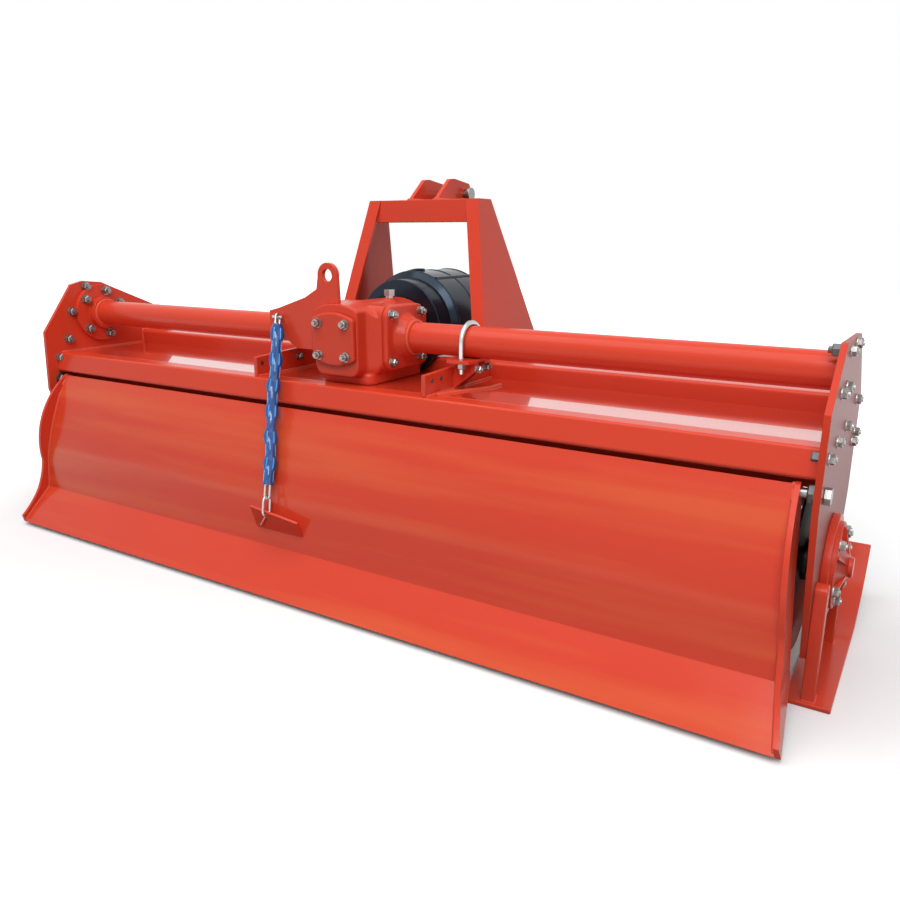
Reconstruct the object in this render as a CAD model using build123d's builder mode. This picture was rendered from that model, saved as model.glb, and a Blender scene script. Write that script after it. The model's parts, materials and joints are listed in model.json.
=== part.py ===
from build123d import *
import math
import os

os.makedirs("parts", exist_ok=True)

# Rotary tiller, all sizes in mm.  X runs across the machine, +Y points forward to the tractor and
# Z = 0 is the ground under the skids.  Heights and fore-aft places are given from the cross tube's axis.

# ---- main frame
plate_gap = 2236            # between the inner faces of the side plates
plate_t = 12
tube_z = 640                # cross tube axis above the ground
tube_d = 76
tube_wall = 8
board_reach = 347           # rearmost edge of the levelling board, behind the tube axis
hitch_reach = 480           # foremost edge of the headstock, ahead of the tube axis
tube_y = (board_reach - hitch_reach) / 2

# ---- rear beam, deck and front beam
beam_rear_top = (-157, -115)
beam_rear_foot = (-174, -173)
beam_front_y = -110
beam_lip_foot = -202        # the front wall runs on below the beam
beam_wall = 5
beam_round = 8
deck_t = 6
front_beam_y = 160          # its rear face
front_beam_size = 100
front_beam_wall = 6
front_beam_top = -73

# ---- rotor
rotor_y = 40                # rotor axis ahead of the cross tube axis
rotor_drop = 400            # and below it
rotor_tube_d = 89
blade_r = 228
blade_w = 42
blade_t = 8
blade_reach = 100           # width of a blade's foot
flange_d = 190
flange_t = 10
flange_count = 9
blades_per_side = 3
rotor_end_gap = 20
shield_r = 190              # disc at each end of the rotor
shield_t = 6

# ---- levelling board
pivot_y = -160
pivot_drop = 200
pivot_d = 20
pivot_boss_r = 20
board_gap = 28              # from a side plate to the board's end plate, at the top
board_splay = 24            # each end stands this much further out at the bend
board_flare = 47            # and this much at the lip
board_t = 5
end_plate_t = 10

# ---- headstock
leg_t = 10
leg_w = 38
leg_top = 340
leg_top_out = 178           # outer face at the top, from the middle of the machine
leg_foot_out = 260
leg_top_y = (250, 320)      # rear edge, front edge
leg_foot_y = (158, hitch_reach)
top_bar_h = 60
hook_foot = -190            # lower edge of the leg's hook on the front beam
hook_nose = 60              # reach of that edge ahead of the beam
ear_x = 42
ear_t = 12
ear_rise = 58               # top of the ears above the top bar
ear_nose = 44               # front of the ears ahead of the pin
ear_low = 32                # and their lower edge below it
link_pin_y = 402
link_pin_z = 358
link_pin_d = 25.4
lower_pin_x = 412
lower_pin_y = 400
lower_pin_z = -252
lower_pin_d = 28.4
lower_pin_len = 66          # free end, outside the bracket
lower_shank_d = 24
lower_collar_r = 24
lower_collar_t = 10
bracket_gap = 40
bracket_t = 12

# ---- gearbox
box_w = 190
box_rear = -136
box_front = 130
box_top = 86
box_foot = -92
cover_t = 14
side_flange_t = 16
side_flange_y = 166
side_flange_z = 158
socket_len = 28

# ---- side drive, bearing and skids
case_w = 72
case_top_r = 85
case_foot_r = 104
case_cover_t = 10
bearing_r = 104
bearing_t = 16
skid_w = 86
skid_overlap = 18           # the runner reaches in under the side plate by this
skid_t = 10
skid_rear = -131
skid_front = 200

running = 0.05              # radial running fit of pins and shafts
seat = 0.3                  # gap left where a curved face sits in another piece

half_gap = plate_gap / 2
plate_out = half_gap + plate_t
deck_top = beam_rear_top[1]
rotor_z = -rotor_drop
ground = -tube_z


def yz(dy, dz):
    """Place in a side view, from the tube axis."""
    return (tube_y + dy, tube_z + dz)


def xz(x, dz):
    """Place in a rear view, heights from the tube axis."""
    return (x, tube_z + dz)


def side_plane(x):
    """Side view plane: local x is +Y, local y is +Z, and it extrudes towards +X."""
    return Plane(origin=(x, 0, 0), x_dir=(0, 1, 0), z_dir=(1, 0, 0))


def rear_plane(dy):
    """Rear view plane: local x is +X, local y is +Z, and it extrudes towards the rear."""
    return Plane(origin=(0, tube_y + dy, 0), x_dir=(1, 0, 0), z_dir=(0, -1, 0))


def save(piece, name):
    piece.part.label = name
    export_step(piece.part, f"parts/{name}.step")


# ================= side plates =================
# dy, dz from the tube axis: the upper edges differ, the rest is the same on both sides
plate_top_left = [(-198, -47), (-92, 93), (-50, 103), (18, 96), (212, 13)]
plate_top_right = [(-198, -47), (-80, 58), (-62, 62), (160, 56)]
plate_below = [(320, -90), (316, -315), (225, -545), (-115, -545), (-205, -225)]
shaft_hole_r = 60


def side_plate(x_inner, outward, upper_edge):
    with BuildPart() as plate:
        with BuildSketch(side_plane(x_inner)):
            with BuildLine():
                Polyline([yz(dy, dz) for dy, dz in upper_edge + plate_below], close=True)
            make_face()
            with Locations(yz(rotor_y, rotor_z)):
                Circle(shaft_hole_r, mode=Mode.SUBTRACT)
            with Locations(yz(pivot_y, -pivot_drop)):
                Circle(pivot_d / 2 + running, mode=Mode.SUBTRACT)
        extrude(amount=outward * plate_t)
    return plate


save(side_plate(-half_gap, -1, plate_top_left), "side_plate_left")
save(side_plate(half_gap, 1, plate_top_right), "side_plate_right")

# ================= beams and deck =================
with BuildPart() as rear_beam:
    with BuildSketch(side_plane(-half_gap)):
        with BuildLine():
            Polyline(
                yz(*beam_rear_top), yz(*beam_rear_foot), yz(beam_front_y - beam_wall, beam_rear_foot[1]),
                yz(beam_front_y - beam_wall, beam_lip_foot), yz(beam_front_y, beam_lip_foot),
                yz(beam_front_y, deck_top), close=True,
            )
        outer = make_face()
        fillet(outer.vertices().sort_by(Axis.X)[0:2], beam_round)
        with BuildLine():
            Polyline(
                yz(beam_rear_top[0] + 8, deck_top - beam_wall),
                yz(beam_rear_foot[0] + 8, beam_rear_foot[1] + beam_wall),
                yz(beam_front_y - beam_wall, beam_rear_foot[1] + beam_wall),
                yz(beam_front_y - beam_wall, deck_top - beam_wall), close=True,
            )
        make_face(mode=Mode.SUBTRACT)
    extrude(amount=plate_gap)
save(rear_beam, "rear_beam")

with BuildPart() as deck:
    with BuildSketch(side_plane(-half_gap)):
        with Locations(yz((beam_front_y + front_beam_y) / 2, deck_top - deck_t / 2)):
            Rectangle(front_beam_y - beam_front_y, deck_t)
    extrude(amount=plate_gap)
save(deck, "deck")

front_mid = (front_beam_y + front_beam_size / 2, front_beam_top - front_beam_size / 2)
with BuildPart() as front_beam:
    with BuildSketch(side_plane(-half_gap)):
        with Locations(yz(*front_mid)):
            RectangleRounded(front_beam_size, front_beam_size, 10)
            inner = front_beam_size - 2 * front_beam_wall
            RectangleRounded(inner, inner, 5, mode=Mode.SUBTRACT)
    extrude(amount=plate_gap)
save(front_beam, "front_beam")

# ================= gearbox =================
box_half = box_w / 2
box_shoulder = -84
box_drop = 36               # from the crown to the upper corners
box_round = 26              # of its lower corners
barrel_half = 68
barrel_end = -100
barrel_drop = 17
foot_rear = -102            # rear edge of the foot plate
foot_w = 164
breather_x = 30
breather_dy = 52


def housing_section(dy, half, drop):
    """Section of the housing across the machine: flat foot, upright sides and a crowned top."""
    with BuildSketch(rear_plane(dy)) as section:
        with BuildLine():
            Polyline(xz(half, box_top - drop), xz(half, box_foot), xz(-half, box_foot), xz(-half, box_top - drop))
            ThreePointArc(xz(-half, box_top - drop), xz(0, box_top), xz(half, box_top - drop))
        outline = make_face()
        fillet(outline.vertices().group_by(Axis.Y)[0], box_round)
    return section.sketch


with BuildPart() as gearbox_housing:
    extrude(housing_section(box_front, box_half, box_drop), amount=box_front - box_shoulder)
    # the housing narrows to the barrel that carries the rear cover
    loft([housing_section(box_shoulder, box_half, box_drop), housing_section(barrel_end, barrel_half, barrel_drop)])
    extrude(housing_section(barrel_end, barrel_half, barrel_drop), amount=barrel_end - box_rear)
    # seats for the side flanges, square to the cross tube
    with BuildSketch(side_plane(-box_half - 7)):
        with Locations(yz(0, 0)):
            RectangleRounded(side_flange_y, side_flange_z, 26)
    extrude(amount=box_w + 14)
    # foot plate on the deck
    with BuildSketch(Plane.XY.offset(tube_z + deck_top)):
        with Locations((0, tube_y + (foot_rear + box_front) / 2)):
            RectangleRounded(foot_w, box_front - foot_rear, 24)
    extrude(amount=box_foot - deck_top + 1)
    # neck of the input shaft
    with BuildSketch(rear_plane(box_front)):
        with Locations(xz(0, 0)):
            Circle(66)
    extrude(amount=-28)
    # boss under the breather
    with BuildSketch(Plane.XY.offset(tube_z)):
        with Locations((breather_x, tube_y + breather_dy)):
            Circle(15)
    extrude(amount=box_top + 2)
    # input shaft's bore
    with BuildSketch(rear_plane(box_front + 28)):
        with Locations(xz(0, 0)):
            Circle(25 + running)
    extrude(amount=60, mode=Mode.SUBTRACT)
save(gearbox_housing, "gearbox_housing")

cover_w = 130
cover_side = 50
cover_rise = 16
with BuildPart() as gearbox_rear_cover:
    with BuildSketch(rear_plane(box_rear)):
        with BuildLine():
            Line(xz(-cover_w / 2, -cover_side), xz(-cover_w / 2, cover_side))
            half = cover_w / 2
            crown = cover_side + cover_rise
            ThreePointArc(xz(-half, cover_side), xz(0, crown), xz(half, cover_side))
            Line(xz(half, cover_side), xz(half, -cover_side))
            ThreePointArc(xz(half, -cover_side), xz(0, -crown), xz(-half, -cover_side))
        make_face()
    extrude(amount=cover_t)
    fillet(gearbox_rear_cover.faces().sort_by(Axis.Y)[0].edges(), 3)
save(gearbox_rear_cover, "gearbox_rear_cover")

flange_seat_x = box_half + 7
flange_face_x = flange_seat_x + side_flange_t


def side_flange(side):
    """Bolted flange on one side of the gearbox, with the flared socket that carries the tube."""
    with BuildPart() as flange:
        with BuildSketch(side_plane(side * flange_seat_x)):
            with Locations(yz(0, 0)):
                RectangleRounded(side_flange_y, side_flange_z, 30)
        extrude(amount=side * side_flange_t)
        with BuildSketch(side_plane(side * flange_face_x)):
            with Locations(yz(0, 0)):
                Circle(tube_d / 2 + 20)
        with BuildSketch(side_plane(side * (flange_face_x + socket_len))):
            with Locations(yz(0, 0)):
                Circle(tube_d / 2 + 5)
        loft()
        with BuildSketch(side_plane(side * flange_face_x)):
            with Locations(yz(0, 0)):
                Circle(tube_d / 2 + seat)
        extrude(amount=side * (socket_len + 1), mode=Mode.SUBTRACT)
    return flange


save(side_flange(-1), "gearbox_flange_left")
save(side_flange(1), "gearbox_flange_right")

with BuildPart() as breather_plug:
    with BuildSketch(Plane.XY.offset(tube_z + box_top + 2)):
        with Locations((breather_x, tube_y + breather_dy)):
            Circle(10)
    extrude(amount=6)
    with BuildSketch(Plane.XY.offset(tube_z + box_top + 8)):
        with Locations((breather_x, tube_y + breather_dy)):
            RegularPolygon(15, 6)
    extrude(amount=16)
save(breather_plug, "breather_plug")

# ================= cross tubes =================


def cross_tube(side):
    """Tube from the gearbox flange to the side plate, with its bolting flange at the plate."""
    with BuildPart() as tube:
        with BuildSketch(side_plane(side * flange_face_x)):
            with Locations(yz(0, 0)):
                Circle(tube_d / 2)
                Circle(tube_d / 2 - tube_wall, mode=Mode.SUBTRACT)
        extrude(amount=side * (half_gap - flange_face_x))
        if side < 0:
            with BuildSketch(side_plane(-half_gap)):
                with Locations(yz(0, 0)):
                    Circle(tube_flange_r)
                    Circle(tube_d / 2 - tube_wall, mode=Mode.SUBTRACT)
            extrude(amount=tube_flange_t)
            with BuildSketch(side_plane(-half_gap)):
                with Locations(yz(0, 0)):
                    Circle(tube_collar_r)
                    Circle(tube_d / 2 - tube_wall, mode=Mode.SUBTRACT)
            extrude(amount=tube_collar_len)
    return tube


tube_flange_r = 90
tube_flange_t = 16
tube_collar_r = 50
tube_collar_len = 40
save(cross_tube(-1), "cross_tube_left")
save(cross_tube(1), "cross_tube_right")

# ================= headstock =================


def leg_out(dz):
    """Outer face of a headstock leg at a height."""
    share = (leg_top - dz) / (leg_top - front_beam_top)
    return leg_top_out + share * (leg_foot_out - leg_top_out)


def leg_section(side, dz, y_from, y_to, depth):
    """Flat section of a leg at a height: from y_from to y_to, and depth inwards from the outer face."""
    out = leg_out(dz)
    with BuildSketch(Plane.XY.offset(tube_z + dz)) as section:
        with Locations((side * (out - depth / 2), tube_y + (y_from + y_to) / 2)):
            Rectangle(depth, y_to - y_from)
    return section.sketch


def hitch_leg(side):
    """Folded leg: a tapered outer web, a rear flange and a hook down the front of the beam."""
    with BuildPart() as leg:
        web = [
            leg_section(side, front_beam_top, *leg_foot_y, leg_t),
            leg_section(side, leg_top, *leg_top_y, leg_t),
        ]
        loft(web)
        flange = [
            leg_section(side, front_beam_top, leg_foot_y[0], leg_foot_y[0] + leg_t, leg_w),
            leg_section(side, leg_top, leg_top_y[0], leg_top_y[0] + leg_t, leg_w),
        ]
        loft(flange)
        # the hook down the front of the beam
        with BuildSketch(side_plane(side * leg_foot_out)):
            with BuildLine():
                Polyline(
                    yz(front_beam_y + front_beam_size, front_beam_top + 1), yz(leg_foot_y[1], front_beam_top + 1),
                    yz(leg_foot_y[1], front_beam_top - 40), yz(front_beam_y + front_beam_size + hook_nose, hook_foot),
                    yz(front_beam_y + front_beam_size, hook_foot), close=True,
                )
            make_face()
        extrude(amount=-side * leg_t)
    return leg


save(hitch_leg(-1), "hitch_leg_left")
save(hitch_leg(1), "hitch_leg_right")

bar_top = leg_top
ear_top = bar_top + ear_rise
bar_foot = leg_top - top_bar_h
with BuildPart() as hitch_top_bar:
    with BuildSketch(rear_plane(leg_top_y[1])):
        with BuildLine():
            Polyline(
                xz(-leg_out(bar_top) + leg_w, bar_top), xz(leg_out(bar_top) - leg_w, bar_top),
                xz(leg_out(bar_foot) - leg_w, bar_foot), xz(-leg_out(bar_foot) + leg_w, bar_foot), close=True,
            )
        make_face()
    extrude(amount=leg_top_y[1] - leg_top_y[0])
save(hitch_top_bar, "hitch_top_bar")

with BuildPart() as top_link_ears:
    for x in (-ear_x, ear_x):
        with BuildSketch(side_plane(x - ear_t / 2)):
            with BuildLine():
                Polyline(
                    yz(leg_top_y[0] + 4, bar_top), yz(leg_top_y[1] + 2, ear_top - 2), yz(leg_top_y[1] + 25, ear_top),
                    yz(link_pin_y + ear_nose / 2, ear_top - 10), yz(link_pin_y + ear_nose, link_pin_z),
                    yz(link_pin_y + ear_nose / 2, link_pin_z - ear_low), yz(leg_top_y[1], bar_top - ear_low - 8),
                    yz(leg_top_y[1], bar_top), close=True,
                )
            make_face()
            with Locations(yz(link_pin_y, link_pin_z)):
                Circle(link_pin_d / 2 + seat, mode=Mode.SUBTRACT)
        extrude(amount=ear_t)
save(top_link_ears, "top_link_ears")

with BuildPart() as top_link_pin:
    with BuildSketch(side_plane(-ear_x - ear_t / 2 - 24)):
        with Locations(yz(link_pin_y, link_pin_z)):
            Circle(link_pin_d / 2)
    extrude(amount=2 * ear_x + ear_t + 44)
    with BuildSketch(side_plane(ear_x + ear_t / 2 + 12)):
        with Locations(yz(link_pin_y, link_pin_z)):
            Circle(18)
    extrude(amount=10)
save(top_link_pin, "top_link_pin")


bracket_out = lower_pin_x - lower_pin_len / 2 - lower_collar_t      # outer face of the outer plate
bracket_places = (bracket_out - bracket_t / 2, bracket_out - bracket_gap - 1.5 * bracket_t)


def lower_bracket(side):
    """Pair of lower link plates on the front of the beam."""
    with BuildPart() as bracket:
        for x in bracket_places:
            with BuildSketch(side_plane(side * x - bracket_t / 2)):
                with BuildLine():
                    face_y = front_beam_y + front_beam_size
                    Polyline(
                        yz(face_y, front_beam_top - 8), yz(face_y + 60, front_beam_top - 8),
                        yz(lower_pin_y + 40, lower_pin_z + 20), yz(lower_pin_y + 40, lower_pin_z - 20),
                        yz(lower_pin_y + 20, lower_pin_z - 40), yz(lower_pin_y - 20, lower_pin_z - 40),
                        yz(face_y, front_beam_top - front_beam_size + 8), close=True,
                    )
                make_face()
                with Locations(yz(lower_pin_y, lower_pin_z)):
                    Circle(lower_shank_d / 2 + seat, mode=Mode.SUBTRACT)
            extrude(amount=bracket_t)
    return bracket


save(lower_bracket(-1), "lower_hitch_bracket_left")
save(lower_bracket(1), "lower_hitch_bracket_right")

shank_in = bracket_out - bracket_gap - 2 * bracket_t - 8
pin_steps = [
    # radius, from x, to x
    (lower_shank_d / 2, shank_in, bracket_out),
    (lower_collar_r, bracket_out, bracket_out + lower_collar_t),
    (lower_pin_d / 2, bracket_out + lower_collar_t, bracket_out + lower_collar_t + lower_pin_len),
]
with BuildPart() as lower_hitch_pins:
    for side in (-1, 1):
        for radius, begin, end in pin_steps:
            with BuildSketch(side_plane(side * begin)):
                with Locations(yz(lower_pin_y, lower_pin_z)):
                    Circle(radius)
            extrude(amount=side * (end - begin))
save(lower_hitch_pins, "lower_hitch_pins")

# ================= ribs, tube clamp and lifting plate =================
rib_x = 266
rib_t = 12
rib_h = 57
with BuildPart() as deck_ribs:
    for side in (-1, 1):
        with BuildSketch(side_plane(side * rib_x - rib_t / 2)):
            with BuildLine():
                Polyline(
                    yz(beam_rear_top[0] + 8, deck_top), yz(beam_rear_top[0] + 8, deck_top + rib_h - 6),
                    yz(0, deck_top + rib_h), yz(front_beam_y, deck_top + rib_h),
                    yz(front_beam_y, deck_top), close=True,
                )
            make_face()
        extrude(amount=rib_t)
save(deck_ribs, "deck_ribs")

clamp_x = 306
clamp_w = 60
ubolt_d = 13
ubolt_slack = 1             # round the bolt's legs in the saddle
ubolt_r = tube_d / 2 + seat + ubolt_d / 2
with BuildPart() as tube_saddle:
    saddle_top = -tube_d / 2
    with BuildSketch(side_plane(clamp_x - clamp_w / 2)):
        with Locations(yz(0, saddle_top - seat - 4)):
            Rectangle(126, 8)
    extrude(amount=clamp_w)
    with BuildSketch(Plane.XY.offset(tube_z + saddle_top - seat - 8)):
        with Locations((clamp_x, tube_y - ubolt_r), (clamp_x, tube_y + ubolt_r)):
            Circle(ubolt_d / 2 + ubolt_slack)
    extrude(amount=8, mode=Mode.SUBTRACT)
    for dy in (-20, 20):
        with BuildSketch(rear_plane(dy + 5)):
            with BuildLine():
                Polyline(
                    xz(rib_x + rib_t / 2, saddle_top - seat - 8), xz(clamp_x + clamp_w / 2, saddle_top - seat - 8),
                    xz(clamp_x + clamp_w / 2, saddle_top - 24), xz(rib_x + rib_t / 2, deck_top), close=True,
                )
            make_face()
        extrude(amount=10)
save(tube_saddle, "tube_saddle")

bend_facets = 5             # flat facets round half a turn of bent wire
wire_bevel = 1 / 3          # of the wire's thickness, on its four corners


def half_turn(radius, facets):
    """Corners of a half turn about the origin, its facets' middles at the radius, from -90 to 90 degrees."""
    step = 180 / facets
    corner_r = radius / math.cos(math.radians(step / 2))
    turns = [math.radians(-90 + k * step) for k in range(facets + 1)]
    return [(corner_r * math.cos(turn), corner_r * math.sin(turn)) for turn in turns]


def bevel_wire(bent, axis, wire):
    """Take the corners off a wire made as a flat plate, on its two large faces."""
    faces = bent.faces().sort_by(axis)
    chamfer(faces[0].edges() + faces[-1].edges(), wire * wire_bevel)


ubolt_foot = -tube_d / 2 - 34
with BuildPart() as u_bolt:
    with BuildSketch(side_plane(clamp_x)):
        with BuildLine():
            outer_bend = [yz(-dy, dz) for dz, dy in half_turn(ubolt_r + ubolt_d / 2, 2 * bend_facets)]
            inner_bend = [yz(-dy, dz) for dz, dy in half_turn(ubolt_r - ubolt_d / 2, 2 * bend_facets)]
            Polyline(
                *outer_bend, (outer_bend[-1][0], tube_z + ubolt_foot), (inner_bend[-1][0], tube_z + ubolt_foot),
                *reversed(inner_bend), (inner_bend[0][0], tube_z + ubolt_foot),
                (outer_bend[0][0], tube_z + ubolt_foot), close=True,
            )
        make_face()
    extrude(amount=ubolt_d / 2, both=True)
    bevel_wire(u_bolt, Axis.X, ubolt_d)
save(u_bolt, "u_bolt")

lift_t = 12
lift_y = -112               # its front face
eye = (-30, 152)
eye_r = 30
anchor_x = -208
anchor_z = 44
anchor_d = 8
with BuildPart() as lifting_plate:
    with BuildSketch(rear_plane(lift_y)):
        with BuildLine():
            Polyline(
                xz(anchor_x - 20, 58), xz(anchor_x + 12, 66), xz(-105, 96), xz(eye[0] - eye_r - 6, 118),
                xz(eye[0] - eye_r, eye[1]), xz(eye[0] + eye_r, eye[1]), xz(eye[0] + eye_r + 4, 50),
                xz(-barrel_half, 50), xz(-barrel_half, -34), xz(-140, -34), xz(anchor_x - 20, 24), close=True,
            )
        make_face()
        with Locations(xz(*eye)):
            Circle(eye_r)
            Circle(15, mode=Mode.SUBTRACT)
        with Locations(xz(anchor_x, anchor_z)):
            Circle(anchor_d / 2 + seat, mode=Mode.SUBTRACT)
    extrude(amount=lift_t)
    add(gearbox_housing.part, mode=Mode.SUBTRACT)
save(lifting_plate, "lifting_plate")

# ================= PTO guard and shaft =================
guard_collar_r = 130
guard_drum_r = 150
guard_wall = 5
guard_rear = 134
guard_step = 200
guard_front = 392
guard_bore_r = 67
guard_floor = front_beam_top + 3
collar_floor = deck_top + 3
with BuildPart() as pto_guard:
    with BuildSketch(Plane(origin=(0, tube_y, tube_z), x_dir=(1, 0, 0), z_dir=(0, 0, 1))):
        with BuildLine():
            Polyline(
                (guard_bore_r, guard_rear), (guard_collar_r, guard_rear), (guard_collar_r + 4, guard_step - 12),
                (guard_drum_r, guard_step), (guard_drum_r, guard_front),
                (guard_drum_r - guard_wall, guard_front), (guard_drum_r - guard_wall, guard_step + 2),
                (guard_collar_r - guard_wall + 4, guard_step - 10),
                (guard_collar_r - guard_wall, guard_rear + guard_wall), (guard_bore_r, guard_rear + guard_wall),
                close=True,
            )
        make_face()
    revolve(axis=Axis((0, tube_y, tube_z), (0, 1, 0)))
    # open underneath, where the guard stands over the front beam
    with BuildSketch(Plane.XY.offset(tube_z + guard_floor)):
        with Locations((0, tube_y + (front_beam_y - 3 + guard_front + 10) / 2)):
            Rectangle(4 * guard_drum_r, guard_front + 10 - front_beam_y + 3)
    extrude(amount=-guard_drum_r, mode=Mode.SUBTRACT)
    with BuildSketch(Plane.XY.offset(tube_z + collar_floor)):
        with Locations((0, tube_y + guard_rear)):
            Rectangle(4 * guard_drum_r, 4 * guard_drum_r)
    extrude(amount=-guard_drum_r, mode=Mode.SUBTRACT)
save(pto_guard, "pto_guard")

spline_d = 34.9
pto_end = 300
with BuildPart() as pto_shaft:
    with BuildSketch(rear_plane(box_front + 32)):
        with Locations(xz(0, 0)):
            Circle(25)
    extrude(amount=40)
    with BuildSketch(rear_plane(box_front + 32)):
        with Locations(xz(0, 0)):
            Circle(spline_d / 2)
    extrude(amount=-(pto_end - box_front - 32))
save(pto_shaft, "pto_shaft")

# ================= side drive, bearing, skids =================
case_inner_t = case_w - case_cover_t


def case_outline(grow):
    with BuildSketch(side_plane(-plate_out)) as outline:
        with Locations(yz(0, 0)):
            Circle(case_top_r + grow)
        with Locations(yz(rotor_y, rotor_z)):
            Circle(case_foot_r + grow)
        make_hull()
    return outline.sketch


stub_r = 25
with BuildPart() as side_gearcase:
    extrude(case_outline(0), amount=-case_inner_t)
    with BuildSketch(side_plane(-plate_out)):
        with Locations(yz(rotor_y, rotor_z)):
            Circle(stub_r + running)
    extrude(amount=-40, mode=Mode.SUBTRACT)
save(side_gearcase, "side_gearcase")

with BuildPart() as side_gearcase_cover:
    extrude(case_outline(0).moved(Location((-case_inner_t, 0, 0))), amount=-case_cover_t)
save(side_gearcase_cover, "side_gearcase_cover")

with BuildPart() as rotor_bearing_flange:
    with BuildSketch(side_plane(plate_out)):
        with Locations(yz(rotor_y, rotor_z)):
            Circle(bearing_r)
            Circle(stub_r + running, mode=Mode.SUBTRACT)
    extrude(amount=bearing_t)
save(rotor_bearing_flange, "rotor_bearing_flange")

bearing_face = plate_out + bearing_t
cone_len = 34
with BuildPart() as rotor_bearing_cap:
    with BuildSketch(side_plane(bearing_face)):
        with Locations(yz(rotor_y, rotor_z)):
            Circle(bearing_r - 14)
    extrude(amount=8)
    with BuildSketch(side_plane(bearing_face + 8)):
        with Locations(yz(rotor_y, rotor_z)):
            Circle(54)
    with BuildSketch(side_plane(bearing_face + cone_len)):
        with Locations(yz(rotor_y, rotor_z)):
            Circle(34)
    loft()
    with BuildSketch(side_plane(bearing_face)):
        with Locations(yz(rotor_y, rotor_z)):
            Circle(stub_r + running)
    extrude(amount=20, mode=Mode.SUBTRACT)
save(rotor_bearing_cap, "rotor_bearing_cap")

skid_in = half_gap - skid_overlap
skid_turn_r = 335
skid_turn = 54
upright_t = 24
upright_w = 34
upright_top = -405
upright_places = (-106, 165)


def skid(side):
    with BuildPart() as runner:
        with BuildSketch(side_plane(side * skid_in)):
            with BuildLine():
                mid = ground + skid_t / 2
                Line(yz(skid_rear, mid), yz(skid_front, mid))
                CenterArc(yz(skid_front, mid + skid_turn_r), skid_turn_r, -90, skid_turn)
            trace(line_width=skid_t)
        extrude(amount=side * skid_w)
        for dy in upright_places:
            with BuildSketch(side_plane(side * plate_out)):
                with Locations(yz(dy, (upright_top + ground + skid_t) / 2)):
                    Rectangle(upright_w, upright_top - ground - skid_t)
                with Locations(yz(dy, upright_top)):
                    Circle(upright_w / 2)
            extrude(amount=side * upright_t)
    return runner


save(skid(-1), "skid_left")
save(skid(1), "skid_right")

# ================= rotor =================
rotor_half = half_gap - rotor_end_gap
stub_in = 20


stub_lengths = {1: stub_in + rotor_end_gap + plate_t + bearing_t + 16, -1: stub_in + rotor_end_gap + plate_t + 30}
with BuildPart() as rotor_tube:
    with BuildSketch(side_plane(-rotor_half)):
        with Locations(yz(rotor_y, rotor_z)):
            Circle(rotor_tube_d / 2)
    extrude(amount=2 * rotor_half)
    for side, length in stub_lengths.items():
        with BuildSketch(side_plane(side * (rotor_half - stub_in))):
            with Locations(yz(rotor_y, rotor_z)):
                Circle(stub_r)
        extrude(amount=side * length)
save(rotor_tube, "rotor_tube")

flange_end = 960
flange_pitch = 2 * flange_end / (flange_count - 1)
flange_places = [-flange_end + k * flange_pitch for k in range(flange_count)]
with BuildPart() as rotor_flanges:
    for x in flange_places:
        with BuildSketch(side_plane(x - flange_t / 2)):
            with Locations(yz(rotor_y, rotor_z)):
                Circle(flange_d / 2)
                Circle(rotor_tube_d / 2, mode=Mode.SUBTRACT)
        extrude(amount=flange_t)
    for side in (-1, 1):
        with BuildSketch(side_plane(side * (rotor_half - shield_t))):
            with Locations(yz(rotor_y, rotor_z)):
                Circle(shield_r)
                Circle(rotor_tube_d / 2, mode=Mode.SUBTRACT)
        extrude(amount=-side * shield_t)
save(rotor_flanges, "rotor_flanges")

blade_root_r = 52
blade_bend_r = 24
blade_helix = 360 / (blades_per_side * flange_count)
blade_top_r = math.sqrt(blade_r ** 2 - (blade_w / 2) ** 2)


def blade(hand, x, angle):
    """Blade bent to an L: a shank up the flange's face and a foot out to the hand's side."""
    mid_r = blade_top_r - blade_t / 2
    turn = Rotation(angle, 0, 0)
    centre = Location((x, tube_y + rotor_y, tube_z + rotor_z)) * turn
    plane = Plane(centre * Location((hand * (flange_t + blade_t) / 2, 0, 0)))
    sheet = Plane(origin=plane.origin, x_dir=plane.x_dir, z_dir=-plane.y_dir)
    with BuildSketch(sheet) as profile:
        with BuildLine():
            Line((0, blade_root_r), (0, mid_r - blade_bend_r))
            RadiusArc((0, mid_r - blade_bend_r), (hand * blade_bend_r, mid_r), hand * blade_bend_r)
            Line((hand * blade_bend_r, mid_r), (hand * (blade_reach - blade_t / 2), mid_r))
        trace(line_width=blade_t)
    extrude(profile.sketch, amount=blade_w / 2, both=True)


def blade_set(hand):
    with BuildPart() as blades:
        for row, x in enumerate(flange_places):
            for k in range(blades_per_side):
                start = row * blade_helix + (180 / blades_per_side if hand > 0 else 0)
                blade(hand, x, start + k * 360 / blades_per_side)
    return blades


save(blade_set(-1), "blades_left_hand")
save(blade_set(1), "blades_right_hand")

# ================= levelling board =================
board_half = half_gap - board_gap
pivot = (pivot_y, -pivot_drop)
board_top = (-168, -183)
board_bulge = (-214, -290)
board_low = (-250, -420)
board_bend = (-257, -531)
board_lip = (-board_reach + 4, -628)


def board_end(side, shift):
    """One end of the board in a rear view, moved outwards by a shift: above its top, at the bend, at the lip."""
    return [
        xz(side * (board_half + shift), board_top[1] + 20),
        xz(side * (board_half + board_splay + shift), board_bend[1]),
        xz(side * (board_half + board_flare + shift), board_lip[1] - 20),
    ]


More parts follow.
